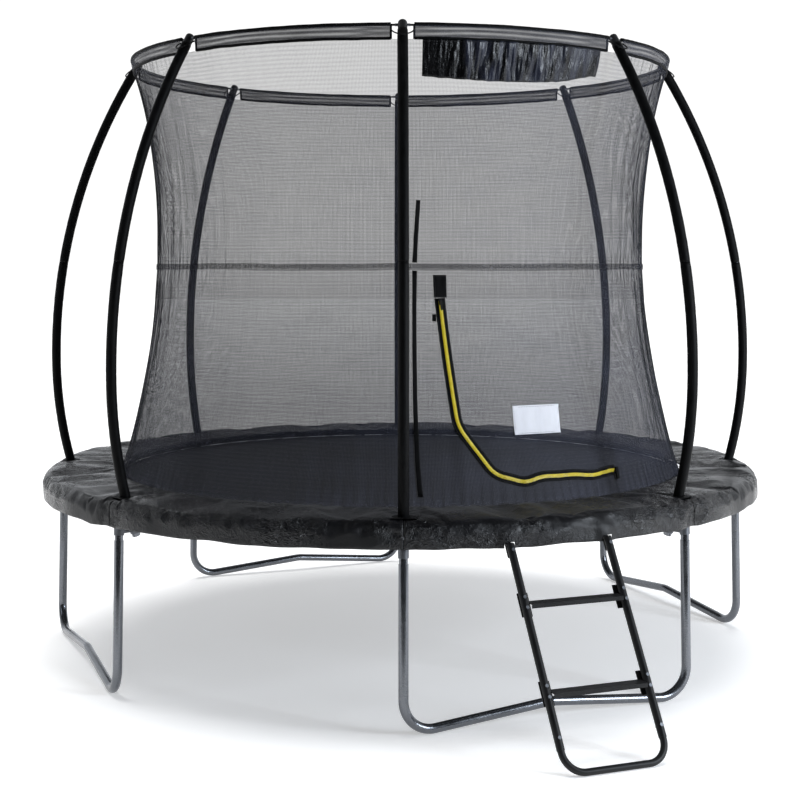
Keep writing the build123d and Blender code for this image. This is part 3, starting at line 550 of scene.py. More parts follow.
def coil_tree():
    """A close-wound tension spring, from its centre line."""
    tree, inputs, end = node_group("coil_spring", Turns=26.0, Length=0.140, Radius=0.0095, Wire=0.0017)
    helix = add(tree, "GeometryNodeCurveSpiral", Resolution=9)
    feed(tree, helix, Rotations=inputs["Turns"], Height=inputs["Length"])
    feed(tree, helix, Start_Radius=inputs["Radius"], End_Radius=inputs["Radius"])
    section = add(tree, "GeometryNodeCurvePrimitiveCircle", Resolution=5)
    feed(tree, section, Radius=inputs["Wire"])
    profile = {"Curve": helix.outputs[0], "Profile Curve": section.outputs[0]}
    body = add(tree, "GeometryNodeCurveToMesh", profile)
    fix(body, Fill_Caps=True)
    return place_copies(tree, inputs, end, {"Points": inputs["Geometry"], "Instance": body.outputs[0]})


def grow(name, base, tree, **values):
    """Run a tree on a base mesh and keep the result as a plain mesh piece."""
    holder = new_object(name + "_seed", base)
    modifier = holder.modifiers.new("grow", "NODES")
    modifier.node_group = tree
    for socket in tree.interface.items_tree:
        if socket.item_type == "SOCKET" and socket.in_out == "INPUT" and socket.name in values:
            modifier[socket.identifier] = values[socket.name]
    ready = bpy.context.evaluated_depsgraph_get()
    mesh = bpy.data.meshes.new_from_object(holder.evaluated_get(ready), depsgraph=ready)
    mesh.name = name
    bpy.data.objects.remove(holder)
    return new_object(name, mesh)


def line_mesh(name, points, closed=False):
    mesh = bpy.data.meshes.new(name)
    count = len(points)
    edges = [(i, (i + 1) % count) for i in range(count if closed else count - 1)]
    mesh.from_pydata([tuple(p) for p in points], edges, [])
    return mesh


STITCHES = stitch_tree()
TEETH = teeth_tree()
COIL = coil_tree()


def stitch_line(name, points, closed=False, pitch=0.009, length=0.006, thread=0.0007):
    line = line_mesh(name + "_line", points, closed)
    return grow(name, line, STITCHES, Pitch=pitch, Length=length, Thread=thread, Finish=stitch_thread)


# ---- camera and light
def make_camera():
    data = bpy.data.cameras.new("view")
    data.lens = 65.61
    data.sensor_width = 36.0
    camera = new_object("view", data)
    camera.location = (-0.0494, -6.4939, 1.6558)
    camera.rotation_euler = (math.radians(90 - 5.394), 0, math.radians(-0.43))
    bpy.context.scene.camera = camera


def make_softbox(name, place, target_height, height, power):
    """A cool upright panel light turned to the middle of the object."""
    data = bpy.data.lights.new(name, "AREA")
    data.shape = "RECTANGLE"
    data.size = 1.6
    data.size_y = height
    data.energy = power
    data.color = (0.84, 0.91, 1.0)
    lamp = new_object(name, data)
    lamp.location = place
    aim = Vector((0, 0, target_height)) - Vector(place)
    lamp.rotation_euler = aim.to_track_quat("-Z", "Y").to_euler()


def make_studio_world():
    """White walls behind and below, darker ceiling and front; seen directly it is all white."""
    world = bpy.data.worlds.new("studio")
    bpy.context.scene.world = world
    world.use_nodes = True
    tree = world.node_tree
    tree.nodes.clear()
    out = add(tree, "ShaderNodeOutputWorld")
    toward = add(tree, "ShaderNodeTexCoord").outputs["Generated"]
    back = map_range(tree, axis(tree, toward, 1), -0.35, 0.62, 0.015, 1.0)
    high = map_range(tree, axis(tree, toward, 2), 0.42, 0.92, 1.0, 0.06)
    both = product(tree, back, high)
    lit = add(tree, "ShaderNodeBackground", {"Strength": both}, Color=(0.93, 0.96, 1.0, 1))
    seen = add(tree, "ShaderNodeBackground", Color=(1, 1, 1, 1), Strength=1.1)
    path = add(tree, "ShaderNodeLightPath")
    ends = {"Fac": path.outputs["Is Camera Ray"], 1: lit.outputs[0], 2: seen.outputs[0]}
    tree.links.new(add(tree, "ShaderNodeMixShader", ends).outputs[0], out.inputs[0])


def make_stage():
    made, tree, shader = new_material("pale_floor")
    speck = noise_tex(tree, coords(tree), 3, 3, 0.5).outputs[0]
    feed(tree, shader, Base_Color=ramp(tree, speck, 0.88, 0.92))
    fix(shader, Roughness=0.95, Specular_IOR_Level=0.1)
    fix(shader, Emission_Color=(1, 1, 1, 1), Emission_Strength=0.38)
    size = 60.0
    front = -2.7
    points = [(-size, front, 0), (size, front, 0), (size, size, 0), (-size, size, 0)]
    floor = mesh_object("floor", points, [(0, 1, 2, 3)], made, smooth=False)
    make_studio_world()
    data = bpy.data.lights.new("overhead", "SUN")
    data.energy = 2.6
    data.angle = math.radians(46)
    sun = new_object("overhead", data)
    sun.visible_glossy = False
    sun.rotation_euler = (math.radians(-13), math.radians(-5), 0)
    make_softbox("left_softbox", (-5.2, -3.6, 2.6), 1.0, 3.0, 30)
    make_softbox("right_softbox", (5.2, -4.0, 2.2), 0.9, 2.6, 290)
    bpy.context.scene.view_settings.view_transform = "Standard"


make_camera()
make_stage()


# ---- the net
BELT_Z = 1.640
NET_GATHERS = ((BELT_Z, 0.05), (0.76, 0.07), (NET_TOP, 0.06))


def net_ripple(azimuth, z):
    """Outward movement of the gauze: gathers at the belt and foot, and slack between poles."""
    near = [math.exp(-(((z - at) / reach) ** 2)) for at, reach in NET_GATHERS]
    to_belt, to_foot, to_top = near
    gathers = math.sin(azimuth * 190 + 3 * hash_noise(azimuth * 9, z * 2))
    slack = hash_noise(azimuth * 5.5, z * 2.4, 7.1) * 0.010
    folds = hash_noise(azimuth * 24, z * 1.6, 2.3) * 0.0045
    return gathers * (0.0022 * to_belt + 0.0028 * to_foot + 0.0012 * to_top) + slack + folds - 0.004 * to_belt


def net_point(azimuth, z):
    return polar(net_radius(z) + net_ripple(azimuth, z), azimuth, z)


def net_heights(down):
    return [NET_TOP + (NET_LOW - NET_TOP) * j / down for j in range(down + 1)]


def make_net_panels():
    across, down = 72, 84
    step = (NET_TOP - NET_LOW) * 1.02 / down
    for bay, start in enumerate(BAY_STARTS):
        rows = []
        for i in range(across + 1):
            azimuth = start + BAY * i / across
            rows.append([net_point(azimuth, z) for z in net_heights(down)])
        piece = sheet_piece(
            f"net_gauze_{bay + 1}",
            rows,
            net_gauze,
            flat=lambda i, j: (i * BAY * 1.1 / across, -j * step),
        )
        net_blend(piece, [f"net_panel_{bay + 1}"])
        cords = make_net_cords(bay, start)


def make_net_cords(bay, start):
    """The net's upright cords, thicker than its cross threads: three-sided, one every few mm."""
    count, down, sides, radius = 170, 44, 3, 0.00036
    points, faces, uv = [], [], []
    for i in range(count):
        azimuth = start + BAY * (i + 0.5) / count
        out, side = directions(azimuth)
        for z in net_heights(down):
            centre = net_point(azimuth, z)
            for k in range(sides):
                angle = math.tau * k / sides
                points.append(centre + (out * math.cos(angle) + side * math.sin(angle)) * radius)
                uv.append((i * 0.005 + k * 0.0006, z))
        base = i * (down + 1) * sides
        for j in range(down):
            for k in range(sides):
                a, b = base + j * sides + k, base + j * sides + (k + 1) % sides
                faces.append((a, a + sides, b + sides, b))
        faces.append((base, base + 1, base + 2))
        last = base + down * sides
        faces.append((last + 2, last + 1, last))
    piece = mesh_object(f"net_cords_{bay + 1}", points, faces, net_cord, uv)
    return net_blend(piece)


def band_rows(start, end, count, section, wobble=lambda a, s: 0.0):
    """Rows for a closed band about +Z: section is a list of (outward offset, z)."""
    rows = []
    for i in range(count + 1):
        azimuth = start + (end - start) * i / count
        row = []
        for off, z in section:
            row.append(polar(net_radius(z) + off + wobble(azimuth, z), azimuth, z))
        rows.append(row)
    return rows


def make_belt():
    half, count = 0.0125, 96
    section = []
    for k in range(13):
        turn = math.tau * k / 12
        section.append((0.0036 + 0.0024 * math.cos(turn), BELT_Z + half * math.sin(turn)))

    def gather(azimuth, z):
        tight = math.sin(azimuth * 260 + 4 * hash_noise(azimuth * 14, 0.3))
        return 0.0016 * tight + net_ripple(azimuth, BELT_Z)

    for bay, start in enumerate(BAY_STARTS):
        rows = band_rows(start, start + BAY, count, section, gather)
        for i, row in enumerate(rows):
            azimuth = start + BAY * i / count
            lift = 0.003 * hash_noise(azimuth * 8, 4.4) - 0.004 * math.sin(math.pi * i / count)
            for p in row:
                p.z += lift
        piece = sheet_piece(f"belt_{bay + 1}", rows, belt_gauze, weave(0.0087, 0.0035))
        put(piece, "frame", ["net_belt"])


def make_hem():
    section = [(-0.0030, 0.7425), (0.0032, 0.7425), (0.0040, 0.752), (0.0022, 0.761), (-0.0028, 0.761)]
    section.append(section[0])
    rows = band_rows(0, math.tau, 360, section, lambda a, z: 0.0012 * math.sin(a * 190))
    piece = sheet_piece("net_hem_binding", rows[:-1], webbing, weave(0.02, 0.01), closed=True)
    net_blend(piece, ["net_hem"])


def bound_band(name, start, span, count, ring, wobble=0.0):
    """A closed band along part of the net's circle; ring is its section as (radius, height)."""
    rows = []
    for i in range(count + 1):
        azimuth = start + span * i / count
        drift = wobble * hash_noise(azimuth * 17, ring[0][1] * 3)
        pucker = wobble * 0.5 * math.sin(azimuth * 210 + 2 * hash_noise(azimuth * 12, 1.0))
        rows.append([polar(r + pucker, azimuth, z + drift) for r, z in ring + ring[:1]])
    piece = sheet_piece(name, rows, webbing, weave(0.014, 0.004))
    close_ends(piece)
    return put(piece, "frame")


def make_tunnels():
    """See-through sleeves round the top rods, bound in black along both edges and at the ends."""
    end_angle = math.radians(2.1)
    span = BAY - 2 * end_angle
    count = 72
    foot = net_radius(NET_TOP)
    low, high = NET_TOP - 0.0025, ROD_Z + 0.0062
    low_ring = [
        (foot - 0.0030, low),
        (foot + 0.0046, low),
        (foot + 0.0052, low + 0.0095),
        (foot - 0.0022, low + 0.0095),
    ]
    top_ring = [
        (ROD_R - 0.0070, high - 0.0085),
        (ROD_R + 0.0082, high - 0.0085),
        (ROD_R + 0.0072, high - 0.0010),
        (ROD_R + 0.0030, high + 0.0022),
        (ROD_R - 0.0030, high + 0.0022),
        (ROD_R - 0.0066, high - 0.0010),
    ]
    end_seam = [
        (foot + 0.0010, NET_TOP),
        (ROD_R - 0.0040, NET_TOP + 0.022),
        (ROD_R - 0.0040, NET_TOP + 0.040),
        (ROD_R - 0.0020, high - 0.004),
    ]
    for bay, bay_start in enumerate(BAY_STARTS):
        start = bay_start + end_angle
        rows = []
        for i in range(count + 1):
            azimuth = start + span * i / count
            pucker = 0.0012 * hash_noise(azimuth * 60, 1.0) + 0.0008 * math.sin(azimuth * 150)
            size = 0.0066 + pucker
            line = [(foot - 0.0018, NET_TOP + 0.002), (ROD_R - 0.0075, NET_TOP + 0.028)]
            for k in range(9):
                angle = math.radians(190 - 200 * k / 8)
                line.append((ROD_R + size * math.cos(angle), ROD_Z + size * math.sin(angle)))
            line += [(ROD_R + 0.0035 + pucker, NET_TOP + 0.028), (foot + 0.0032, NET_TOP + 0.002)]
            rows.append([polar(r, azimuth, z) for r, z in line])
        sleeve = sheet_piece(f"rod_sleeve_{bay + 1}", rows, tunnel_gauze, weave(0.0125, 0.009))
        put(sleeve, "frame", ["net_tunnels"])
        bound_band(f"sleeve_low_binding_{bay + 1}", start, span, count, low_ring, 0.0020)
        bound_band(f"sleeve_top_binding_{bay + 1}", start, span, count, top_ring, 0.0012)
        for side, at in (("a", start), ("b", start + span)):
            path = [polar(r, at, z) for r, z in end_seam]
            strip = tube_piece(f"sleeve_end_{side}_{bay + 1}", path, 0.0042, webbing, 8)
            put(strip, "frame")


def make_ties():
    """Elastic loops from the sleeves' corners round the outside of each pole."""
    high, low, half = 2.495, 2.466, 0.0435
    corner = ROD_R - 0.004
    lean = math.asin((low - BELLY_Z) / POLE_HIGH_CURVE)
    out = pole_point(low).x + 0.0231 / math.cos(lean)
    for bay, azimuth in enumerate(POLE_AZIMUTHS):
        path = []
        for k in range(25):
            turn = (-1 + 2 * k / 24) * math.pi / 2
            ease = math.cos(turn)
            x = corner + (out - ROD_R + 0.004) * ease**0.8
            path.append(turned(x, half * math.sin(turn), high + (low - high) * ease, azimuth))
        piece = tube_piece(f"pole_tie_{bay + 1}", path, 0.0026, elastic, 8)
        put(piece, "frame", ["pole_ties"])


# ---- poles
def make_pole_sleeves():
    """Cloth-covered foam sleeves with fine wrinkles and a turned seam at each end."""
    count = 90
    for label, low, high, node in (
        ("lower", 0.700, 1.6562, "lower_pole_sleeves"),
        ("upper", 1.6568, 2.486, "upper_pole_sleeves"),
    ):
        for bay, azimuth in enumerate(POLE_AZIMUTHS):
            path, radii = [], []
            for k in range(count + 1):
                z = low + (high - low) * k / count
                path.append(turned(pole_point(z).x, 0, z, azimuth))
                tuck = 0.0010 * math.exp(-min(k, count - k) / 0.9)
                pucker = 0.0005 * hash_noise(z * 60, azimuth * 3)
                radii.append(POLE_SLEEVE_R - tuck + pucker)
            piece = tube_piece(f"{label}_pole_sleeve_{bay + 1}", path, radii, foam_sleeve, 20)
            put(piece, "frame", [node])


# ---- spring cover
COVER_STEP = 0.0075
SEAM_GAP = 0.0009
POLE_SLOT = 0.0222
MOVE_CAP = 0.011
PAD_UNDER = 0.7430
PAD_TOP = 0.768
SKIRT_TURN = 1.544


def cover_section():
    """(radius, height, hold) along the cover: under its inner edge, over the top, down the skirt.

    hold is how firmly the foam or a seam keeps the cloth in place."""
    corners = [
        (1.2500, 0.7610, 1.0),
        (1.2448, 0.7628, 0.8),
        (1.2440, 0.7662, 0.5),
        (1.2480, 0.7692, 0.25),
        (1.2570, 0.7706, 0.10),
        (1.2750, 0.7716, 0.035),
        (1.3200, 0.7725, 0.020),
        (1.3900, 0.7735, 0.015),
        (1.4600, 0.7725, 0.015),
        (1.5050, 0.7700, 0.020),
        (1.5270, 0.7660, 0.05),
        (1.5390, 0.7600, 0.15),
        (1.5455, 0.7520, 0.20),
        (1.5485, 0.7420, 0.10),
        (1.5494, 0.7280, 0.02),
        (1.5494, 0.7050, 0.008),
        (1.5492, 0.6850, 0.008),
        (1.5486, 0.6705, 0.03),
    ]
    rows = [corners[0]]
    for a, b in zip(corners, corners[1:]):
        steps = max(1, round(math.dist(a[:2], b[:2]) / COVER_STEP))
        for k in range(1, steps + 1):
            t = k / steps
            rows.append(tuple(a[i] + (b[i] - a[i]) * t for i in range(3)))
    return rows


def buckle(name, points, faces, hold, spare, frames=16):
    """Let cloth with spare length buckle around the places that hold it. Returns its points."""
    cloth = mesh_object(name, points, faces, cover_vinyl)
    group = cloth.vertex_groups.new(name="held")
    for number, weight in enumerate(hold):
        group.add([number], weight, "REPLACE")
    modifier = cloth.modifiers.new("buckle", "CLOTH")
    settings = modifier.settings
    settings.quality = 6
    settings.mass = 0.25
    for way, stiffness in (("tension", 40), ("compression", 40), ("shear", 12)):
        setattr(settings, way + "_stiffness", stiffness)
        setattr(settings, way + "_damping", 8)
    settings.bending_stiffness = 0.6
    settings.vertex_group_mass = "held"
    settings.pin_stiffness = 1.0
    settings.shrink_min = -spare
    settings.effector_weights.gravity = 0.0
    modifier.collision_settings.use_collision = False
    modifier.collision_settings.use_self_collision = False
    scene = bpy.context.scene
    modifier.point_cache.frame_start = 1
    modifier.point_cache.frame_end = frames
    for number in range(1, frames + 1):
        scene.frame_set(number)
    ready = bpy.context.evaluated_depsgraph_get()
    settled = cloth.evaluated_get(ready)
    result = [v.co.copy() for v in settled.data.vertices]
    bpy.data.objects.remove(cloth)
    scene.frame_set(1)
    return result


def cover_rows(seed):
    """One bay's cover from azimuth 0 to one bay, buckled, as rows of points."""
    section = cover_section()
    count = round(BAY * 1.549 / COVER_STEP)
    points, hold = [], []
    for i in range(count + 1):
        share = i / count
        azimuth = SEAM_GAP + (BAY - 2 * SEAM_GAP) * share
        end = min(i, count - i)
        sewn = math.exp(-end / 2.2)
        for radius, z, held in section:
            bumpy = hash_noise(azimuth * 22 + seed * 7, radius * 12, z * 20) * 0.0020
            coarse = hash_noise(azimuth * 10 + seed * 3, radius * 4, 5.2) * 0.0050
            skirt = smoothstep(0.757, 0.67, z) if radius > SKIRT_TURN else 0.0
            top = 1.0 if radius < SKIRT_TURN and z > PAD_TOP else 0.0
            dip = 0.006 * sewn * top
            push = (bumpy + coarse * skirt) * (1 - 0.7 * sewn)
            lift = (bumpy + coarse) * top * (1 - 0.7 * sewn) - dip
            hem = 0.006 * hash_noise(azimuth * 12 + seed, 9.1) * skirt * (1 - sewn)
            points.append(polar(radius + push * (1 - top), azimuth, z + lift + hem))
            hold.append(1.0 if end == 0 else min(1.0, held + 0.5 * sewn))
    down = len(section)
    faces = []
    for i in range(count):
        for j in range(down - 1):
            a, b = i * down + j, (i + 1) * down + j
            faces.append((a, b, b + 1, a + 1))
    before = points
    points = buckle(f"cover_pattern_{seed}", points, faces, hold, 0.018)
    for k, (p, q) in enumerate(zip(before, points)):
        if (q - p).length >= MOVE_CAP:
            points[k] = p + (q - p).normalized() * MOVE_CAP
    return [points[i * down : (i + 1) * down] for i in range(count + 1)]


def around_pole(point, edge):
    """Shift a point near a bay's end so the edge goes round the pole's foot."""
    foot = pole_point(min(max(point.z, 0.60), 0.80)).x
    out, side = directions(edge)
    across, along = point.dot(side), point.dot(out) - foot
    if abs(along) >= POLE_SLOT:
        return point
    need = math.sqrt(POLE_SLOT**2 - along**2)
    fade = 0.09
    if abs(across) >= fade:
        return point
    sign = 1 if across >= 0 else -1
    return point + side * (sign * need * (1 - abs(across) / fade))


def make_pads():
    patterns = [cover_rows(seed) for seed in range(3)]
    section = cover_section()
    down = len(section)
    lowest = 0.7452
    for bay, start in enumerate(BAY_STARTS):
        rows = patterns[(bay * 2 + 1) % 3]
        if bay % 2:
            rows = [
                [polar(p.to_2d().length, BAY - math.atan2(p.y, p.x), p.z) for p in row]
                for row in reversed(rows)
            ]
        turn = Matrix.Rotation(start, 3, "Z")
        closed = []
        for row in rows:
            wave = 0.0030 * hash_noise(math.atan2(row[0].y, row[0].x) * 26, bay * 3.1)
            for k in range(5):
                row[k].z += wave * (1 - k / 5)
        for row in rows:
            ring = [turn @ p for p in row]
            under = []
            for (radius, z, _), p in zip(section, ring):
                azimuth = math.atan2(p.y, p.x)
                if radius > 1.5454 and z < 0.7525:
                    under.append(polar(p.to_2d().length - 0.0026, azimuth, p.z))
                else:
                    inner_lift = 0.0155 * (1 - smoothstep(1.262, 1.345, radius))
                    under.append(polar(min(p.to_2d().length, SKIRT_TURN), azimuth, PAD_UNDER + inner_lift))
            cell = ring + [q for k, q in enumerate(reversed(under)) if k < down - 1]
            for edge in (start, start + BAY):
                cell = [around_pole(q, edge) for q in cell]
            closed.append(cell)
        for cell in closed:
            for k in range(down):
                if section[k][0] < SKIRT_TURN:
                    cell[k].z = max(cell[k].z, lowest)
        closed = [cell + [cell[0].copy()] for cell in closed]
        piece = sheet_piece(f"spring_cover_{bay + 1}", closed, cover_vinyl, weave(0.008, 0.0075))
        close_ends(piece)
        if start < LADDER_AZ < start + BAY:
            open_for_hooks(piece)
        put(piece, "frame", [f"pad_segment_{bay + 1}"])


def close_ends(piece):
    """Weld a tube-like piece along its seam, fill its two ends, and face it outward."""
    shape = bmesh.new()
    shape.from_mesh(piece.data)
    bmesh.ops.remove_doubles(shape, verts=shape.verts, dist=1e-6)
    open_edges = [e for e in shape.edges if e.is_boundary]
    filled = bmesh.ops.holes_fill(shape, edges=open_edges, sides=0)
    bmesh.ops.triangulate(shape, faces=filled["faces"])
    bmesh.ops.recalc_face_normals(shape, faces=shape.faces)
    shape.to_mesh(piece.data)
    shape.free()


def by_hook(point, side):
    """Whether a point is in one of the two slots for the ladder's flat bars."""
    return any(abs(point.dot(side) - lateral) < HOOK_SLOT for lateral in (-HOOK_SIDE, HOOK_SIDE))


def open_for_hooks(piece):
    """The skirt stands off over the ladder's two flat bars, with a slot for each.

    The upper part of each slot is cut out as a separate flap piece."""
    reach, stand_off, start, full = 0.045, 0.012, 0.750, 0.70
    out, side = directions(LADDER_AZ)
    shape = bmesh.new()
    shape.from_mesh(piece.data)
    for lateral in (-HOOK_SIDE, HOOK_SIDE):
        for v in shape.verts:
            away = v.co.dot(side) - lateral
            if v.co.z < start and v.co.to_2d().length > SKIRT_IN and abs(away) < reach:
                bulge = stand_off * math.cos(away / reach * math.pi / 2)
                v.co += out * bulge * smoothstep(start, full, v.co.z)
    shape.faces.ensure_lookup_table()
    shape.faces.index_update()
    slot, lifted = set(), set()
    for f in shape.faces:
        c = f.calc_center_median()
        if c.z <= SLOT_TOP and c.to_2d().length >= SKIRT_IN and by_hook(c, side):
            (lifted if c.z > FLAP_FOOT else slot).add(f.index)
    flaps = shape.copy()
    flaps.faces.ensure_lookup_table()
    rest = [f for f in flaps.faces if f.index not in lifted]
    bmesh.ops.delete(flaps, geom=rest, context="FACES")
    mesh = bpy.data.meshes.new("hook_flaps")
    flaps.to_mesh(mesh)
    flaps.free()
    for finish in piece.data.materials:
        mesh.materials.append(finish)
    made = new_object("hook_flaps", mesh)
    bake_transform(made)
    gone = [f for f in shape.faces if f.index in lifted or f.index in slot]
    bmesh.ops.delete(shape, geom=gone, context="FACES")
    shape.to_mesh(piece.data)
    shape.free()


def make_pole_flaps():
    """Plain dark cloth panels round each pole's foot, sewn over the cover's slit."""
    hole, half_out, half_side, top, turns = 0.0212, 0.036, 0.046, 0.7742, 48
    centre = pole_point(0.774).x
    for bay, azimuth in enumerate(POLE_AZIMUTHS):
        out, side = directions(azimuth)
        rows = []
        for k in range(turns):
            angle = math.tau * k / turns
            c, d = math.cos(angle), math.sin(angle)
            reach = min(half_out / max(1e-6, abs(c)), half_side / max(1e-6, abs(d)))
            row = []
            for t in np.linspace(0, 1, 7):
                distance = hole + (reach - hole) * t
                crease = 0.0010 * hash_noise(c * distance * 90, d * distance * 90, bay)
                p = out * (centre + c * distance) + side * (d * distance)
                row.append(p + Vector((0, 0, top + crease - 0.0022 * t)))
            rows.append(row)
        piece = sheet_piece(f"pole_flap_{bay + 1}", rows, webbing, weave(0.005, 0.004), closed=True)
        faces_toward(piece, Vector((0, 0, 1)))
        thicken(piece, 0.0012)
        put(piece, "frame")


# ---- mat and springs
def make_mat():
    rings, spokes = 40, 144
    points, faces, uv = [Vector((0, 0, MAT_Z - 0.001))], [], [(0, 0)]
    for i in range(1, rings + 1):
        radius = CLOTH_R * i / rings
        for k in range(spokes):
            azimuth = math.tau * k / spokes
            edge = smoothstep(1.17, CLOTH_R, radius)
            z = MAT_Z - 0.001 + 0.001 * hash_noise(radius * 3, azimuth * 2) - 0.0006 * edge
            points.append(polar(radius, azimuth, z))
            uv.append((radius * math.cos(azimuth), radius * math.sin(azimuth)))
    for k in range(spokes):
        faces.append((0, 1 + k, 1 + (k + 1) % spokes))
    for i in range(rings - 1):
        for k in range(spokes):
            a, b = 1 + i * spokes + k, 1 + i * spokes + (k + 1) % spokes
            faces.append((a, a + spokes, b + spokes, b))
    piece = mesh_object("mat_cloth_sheet", points, faces, mat_cloth, uv)
    thicken(piece, 0.0035, -1.0)
    put(piece, "mat", ["jump_mat"])
    for number, radius in enumerate((MAT_R - 0.007, CLOTH_R - 0.016)):
        line = [polar(radius, math.tau * k / 240, MAT_Z + 0.0006) for k in range(240)]
        row = stitch_line(f"mat_stitches_{number + 1}", line, True, 0.014, 0.009, 0.0008)
        put(row, "mat")


MAT_HOOK = (
    (1.2590, 0),
    (1.2575, 0.0035),
    (1.2600, 0.0062),
    (1.2650, 0.0050),
    (1.2720, 0.0),
    (1.2850, 0.0),
    (1.2925, 0.0090),
)
RAIL_HOOK = ((1.4315, 0.0090), (1.4390, 0.0), (1.4600, 0.0), (1.4800, 0.0), (1.4905, 0.0))
SPRING_Z, SPRING_START, SPRING_R, WIRE_R, SPRING_LENGTH = 0.7307, 1.292, 0.0092, 0.0017, 0.140


def make_springs():
    """Close-wound springs with a straight hook at each end; all share one coil's points."""
    base = line_mesh("origin_point", [(0, 0, 0)])
    sizes = {"Turns": 26.0, "Length": SPRING_LENGTH, "Radius": SPRING_R, "Wire": WIRE_R}
    coil = grow("spring_pattern", base, COIL, Finish=spring_steel, **sizes)
    pattern = [v.co.copy() for v in coil.data.vertices]
    faces = [tuple(p.vertices) for p in coil.data.polygons]
    bpy.data.objects.remove(coil)
    for k in range(BAYS * 7):
        azimuth = (k + 0.5) * BAY / 7
        points = [turned(SPRING_START + p.z, p.x, SPRING_Z + p.y, azimuth) for p in pattern]
        all_faces = list(faces)
        for path in (MAT_HOOK, RAIL_HOOK):
            line = [polar(r, azimuth, SPRING_Z + h) for r, h in path]
            hook = tube_piece("hook", line, WIRE_R, spring_steel, 5)
            offset = len(points)
            points += [tuple(v.co) for v in hook.data.vertices]
            all_faces += [tuple(i + offset for i in f.vertices) for f in hook.data.polygons]
            bpy.data.objects.remove(hook)
        piece = mesh_object(f"tension_spring_{k + 1:02d}", points, all_faces, spring_steel)
        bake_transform(piece)
        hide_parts("springs")


# ---- on the door bay
DOOR_OUT, DOOR_SIDE = directions(DOOR_AZ)


def on_net(x, z, off):
    """Point on the door bay's net: x metres sideways from its middle."""
    radius = net_radius(z, off) + net_ripple(DOOR_AZ + math.asin(x / net_radius(z)), z)
    return DOOR_SIDE * x + DOOR_OUT * math.sqrt(radius**2 - x**2) + Vector((0, 0, z))


def straight_run(here, end, step):
    shares = np.linspace(0, 1, max(2, int((end - here).length / step)))
    return [here.lerp(end, t) for t in shares[1:]]


def rounded_route(corners, radii, step=0.012):
    """Points along straight runs joined by arcs, in the door plane."""
    corners = [Vector(c) for c in corners]
    here = corners[0]
    points = [here.copy()]
    for k in range(1, len(corners) - 1):
        corner, radius = corners[k], radii[k - 1]
        before = (corners[k - 1] - corner).normalized()
        after = (corners[k + 1] - corner).normalized()
        half = before.angle(after) / 2
        reach = radius / math.tan(half)
        start, end = corner + before * reach, corner + after * reach
        centre = corner + (before + after).normalized() * (radius / math.sin(half))
        points += straight_run(here, start, step)
        sweep = math.pi - 2 * half
        pieces = max(4, int(radius * sweep / step))
        a = start - centre
        sense = 1 if a.x * (end - centre).y - a.y * (end - centre).x > 0 else -1
        for t in np.linspace(0, 1, pieces)[1:]:
            x, y, _ = turned(a.x, a.y, 0, sense * sweep * t)
            points.append(centre + Vector((x, y)))
        here = end
    return points + straight_run(here, corners[-1], step)


def heading(route, i):
    """Direction of a route at its point number i."""
    return (route[min(i + 1, len(route) - 1)] - route[max(i - 1, 0)]).normalized()


ZIP_ROUTE = [(-0.278, 1.523), (-0.243, 1.050), (-0.120, 0.868), (0.436, 0.848)]


def ribbon(name, route, half, off, finish, thickness):
    """A flat strap lying on the net along a route in the door plane."""
    rows, travelled = [], [0.0]
    for i, p in enumerate(route):
        ahead = heading(route, i)
        side = Vector((-ahead.y, ahead.x))
        if i:
            travelled.append(travelled[-1] + (p - route[i - 1]).length)
        row = []
        for t in (-1, -0.5, 0, 0.5, 1):
            q = p + side * (half * t)
            row.append(on_net(q.x, q.y, off))
        rows.append(row)
    made = sheet_piece(name, rows, finish, flat=lambda i, j: (travelled[i], j * half / 2))
    faces_toward(made, DOOR_OUT)
    thicken(made, thickness)
    return made


def faces_toward(piece, direction):
    """Turn an open sheet over if most of it faces away."""
    facing = sum(p.normal.dot(direction) * p.area for p in piece.data.polygons)
    if facing < 0:
        piece.data.flip_normals()


def loose_run(p):
    """The lower run of the zip isn't pulled tight: it sags near its middle and ripples a little."""
    low = smoothstep(1.00, 0.88, p.y)
    sag = 0.022 * math.exp(-((p.x / 0.07) ** 2)) + 0.007 * math.exp(-(((p.x - 0.27) / 0.09) ** 2))
    ripple = 0.0028 * math.sin(p.x * 34) * smoothstep(-0.05, 0.05, p.x)
    return Vector((p.x, p.y - (sag - ripple) * low))


def make_zip():
    route = [loose_run(p) for p in rounded_route(ZIP_ROUTE, [0.14, 0.08])]
    tape = ribbon("zip_tape_strip", route, 0.0190, 0.0022, webbing, 0.0010)
    net_blend(tape, ["zip_tape"])
    spine = [on_net(p.x, p.y, 0.0040) for p in route[1:]]
    sizes = {"Pitch": 0.0034, "Width": 0.0092, "Height": 0.0092}
    coil = grow("zip_coil_teeth", line_mesh("zip_line", spine), TEETH, Finish=zip_yellow, **sizes)
    flatten_on_net(coil, 0.0024)
    net_blend(coil, ["zip_teeth"])
    for side in (-1, 1):
        line = []
        for i, p in enumerate(route):
            ahead = heading(route, i)
            q = p + Vector((-ahead.y, ahead.x)) * (0.0160 * side)
            line.append(on_net(q.x, q.y, 0.0036))
        row = stitch_line(f"zip_stitches_{'left' if side < 0 else 'right'}", line)
        net_blend(row)


def flatten_on_net(piece, thickness):
    """Press a small repeated shape into a thin layer just outside the net."""
    for v in piece.data.vertices:
        x = v.co.dot(DOOR_SIDE)
        radius = math.sqrt(v.co.dot(DOOR_OUT) ** 2 + x * x)
        base = net_radius(v.co.z, 0.0) + net_ripple(math.atan2(v.co.y, v.co.x), v.co.z) + 0.0040
        depth = max(-1.0, min(1.0, (radius - base) / 0.0036))
        wanted = base + depth * thickness / 2
        v.co.x *= wanted / radius
        v.co.y *= wanted / radius


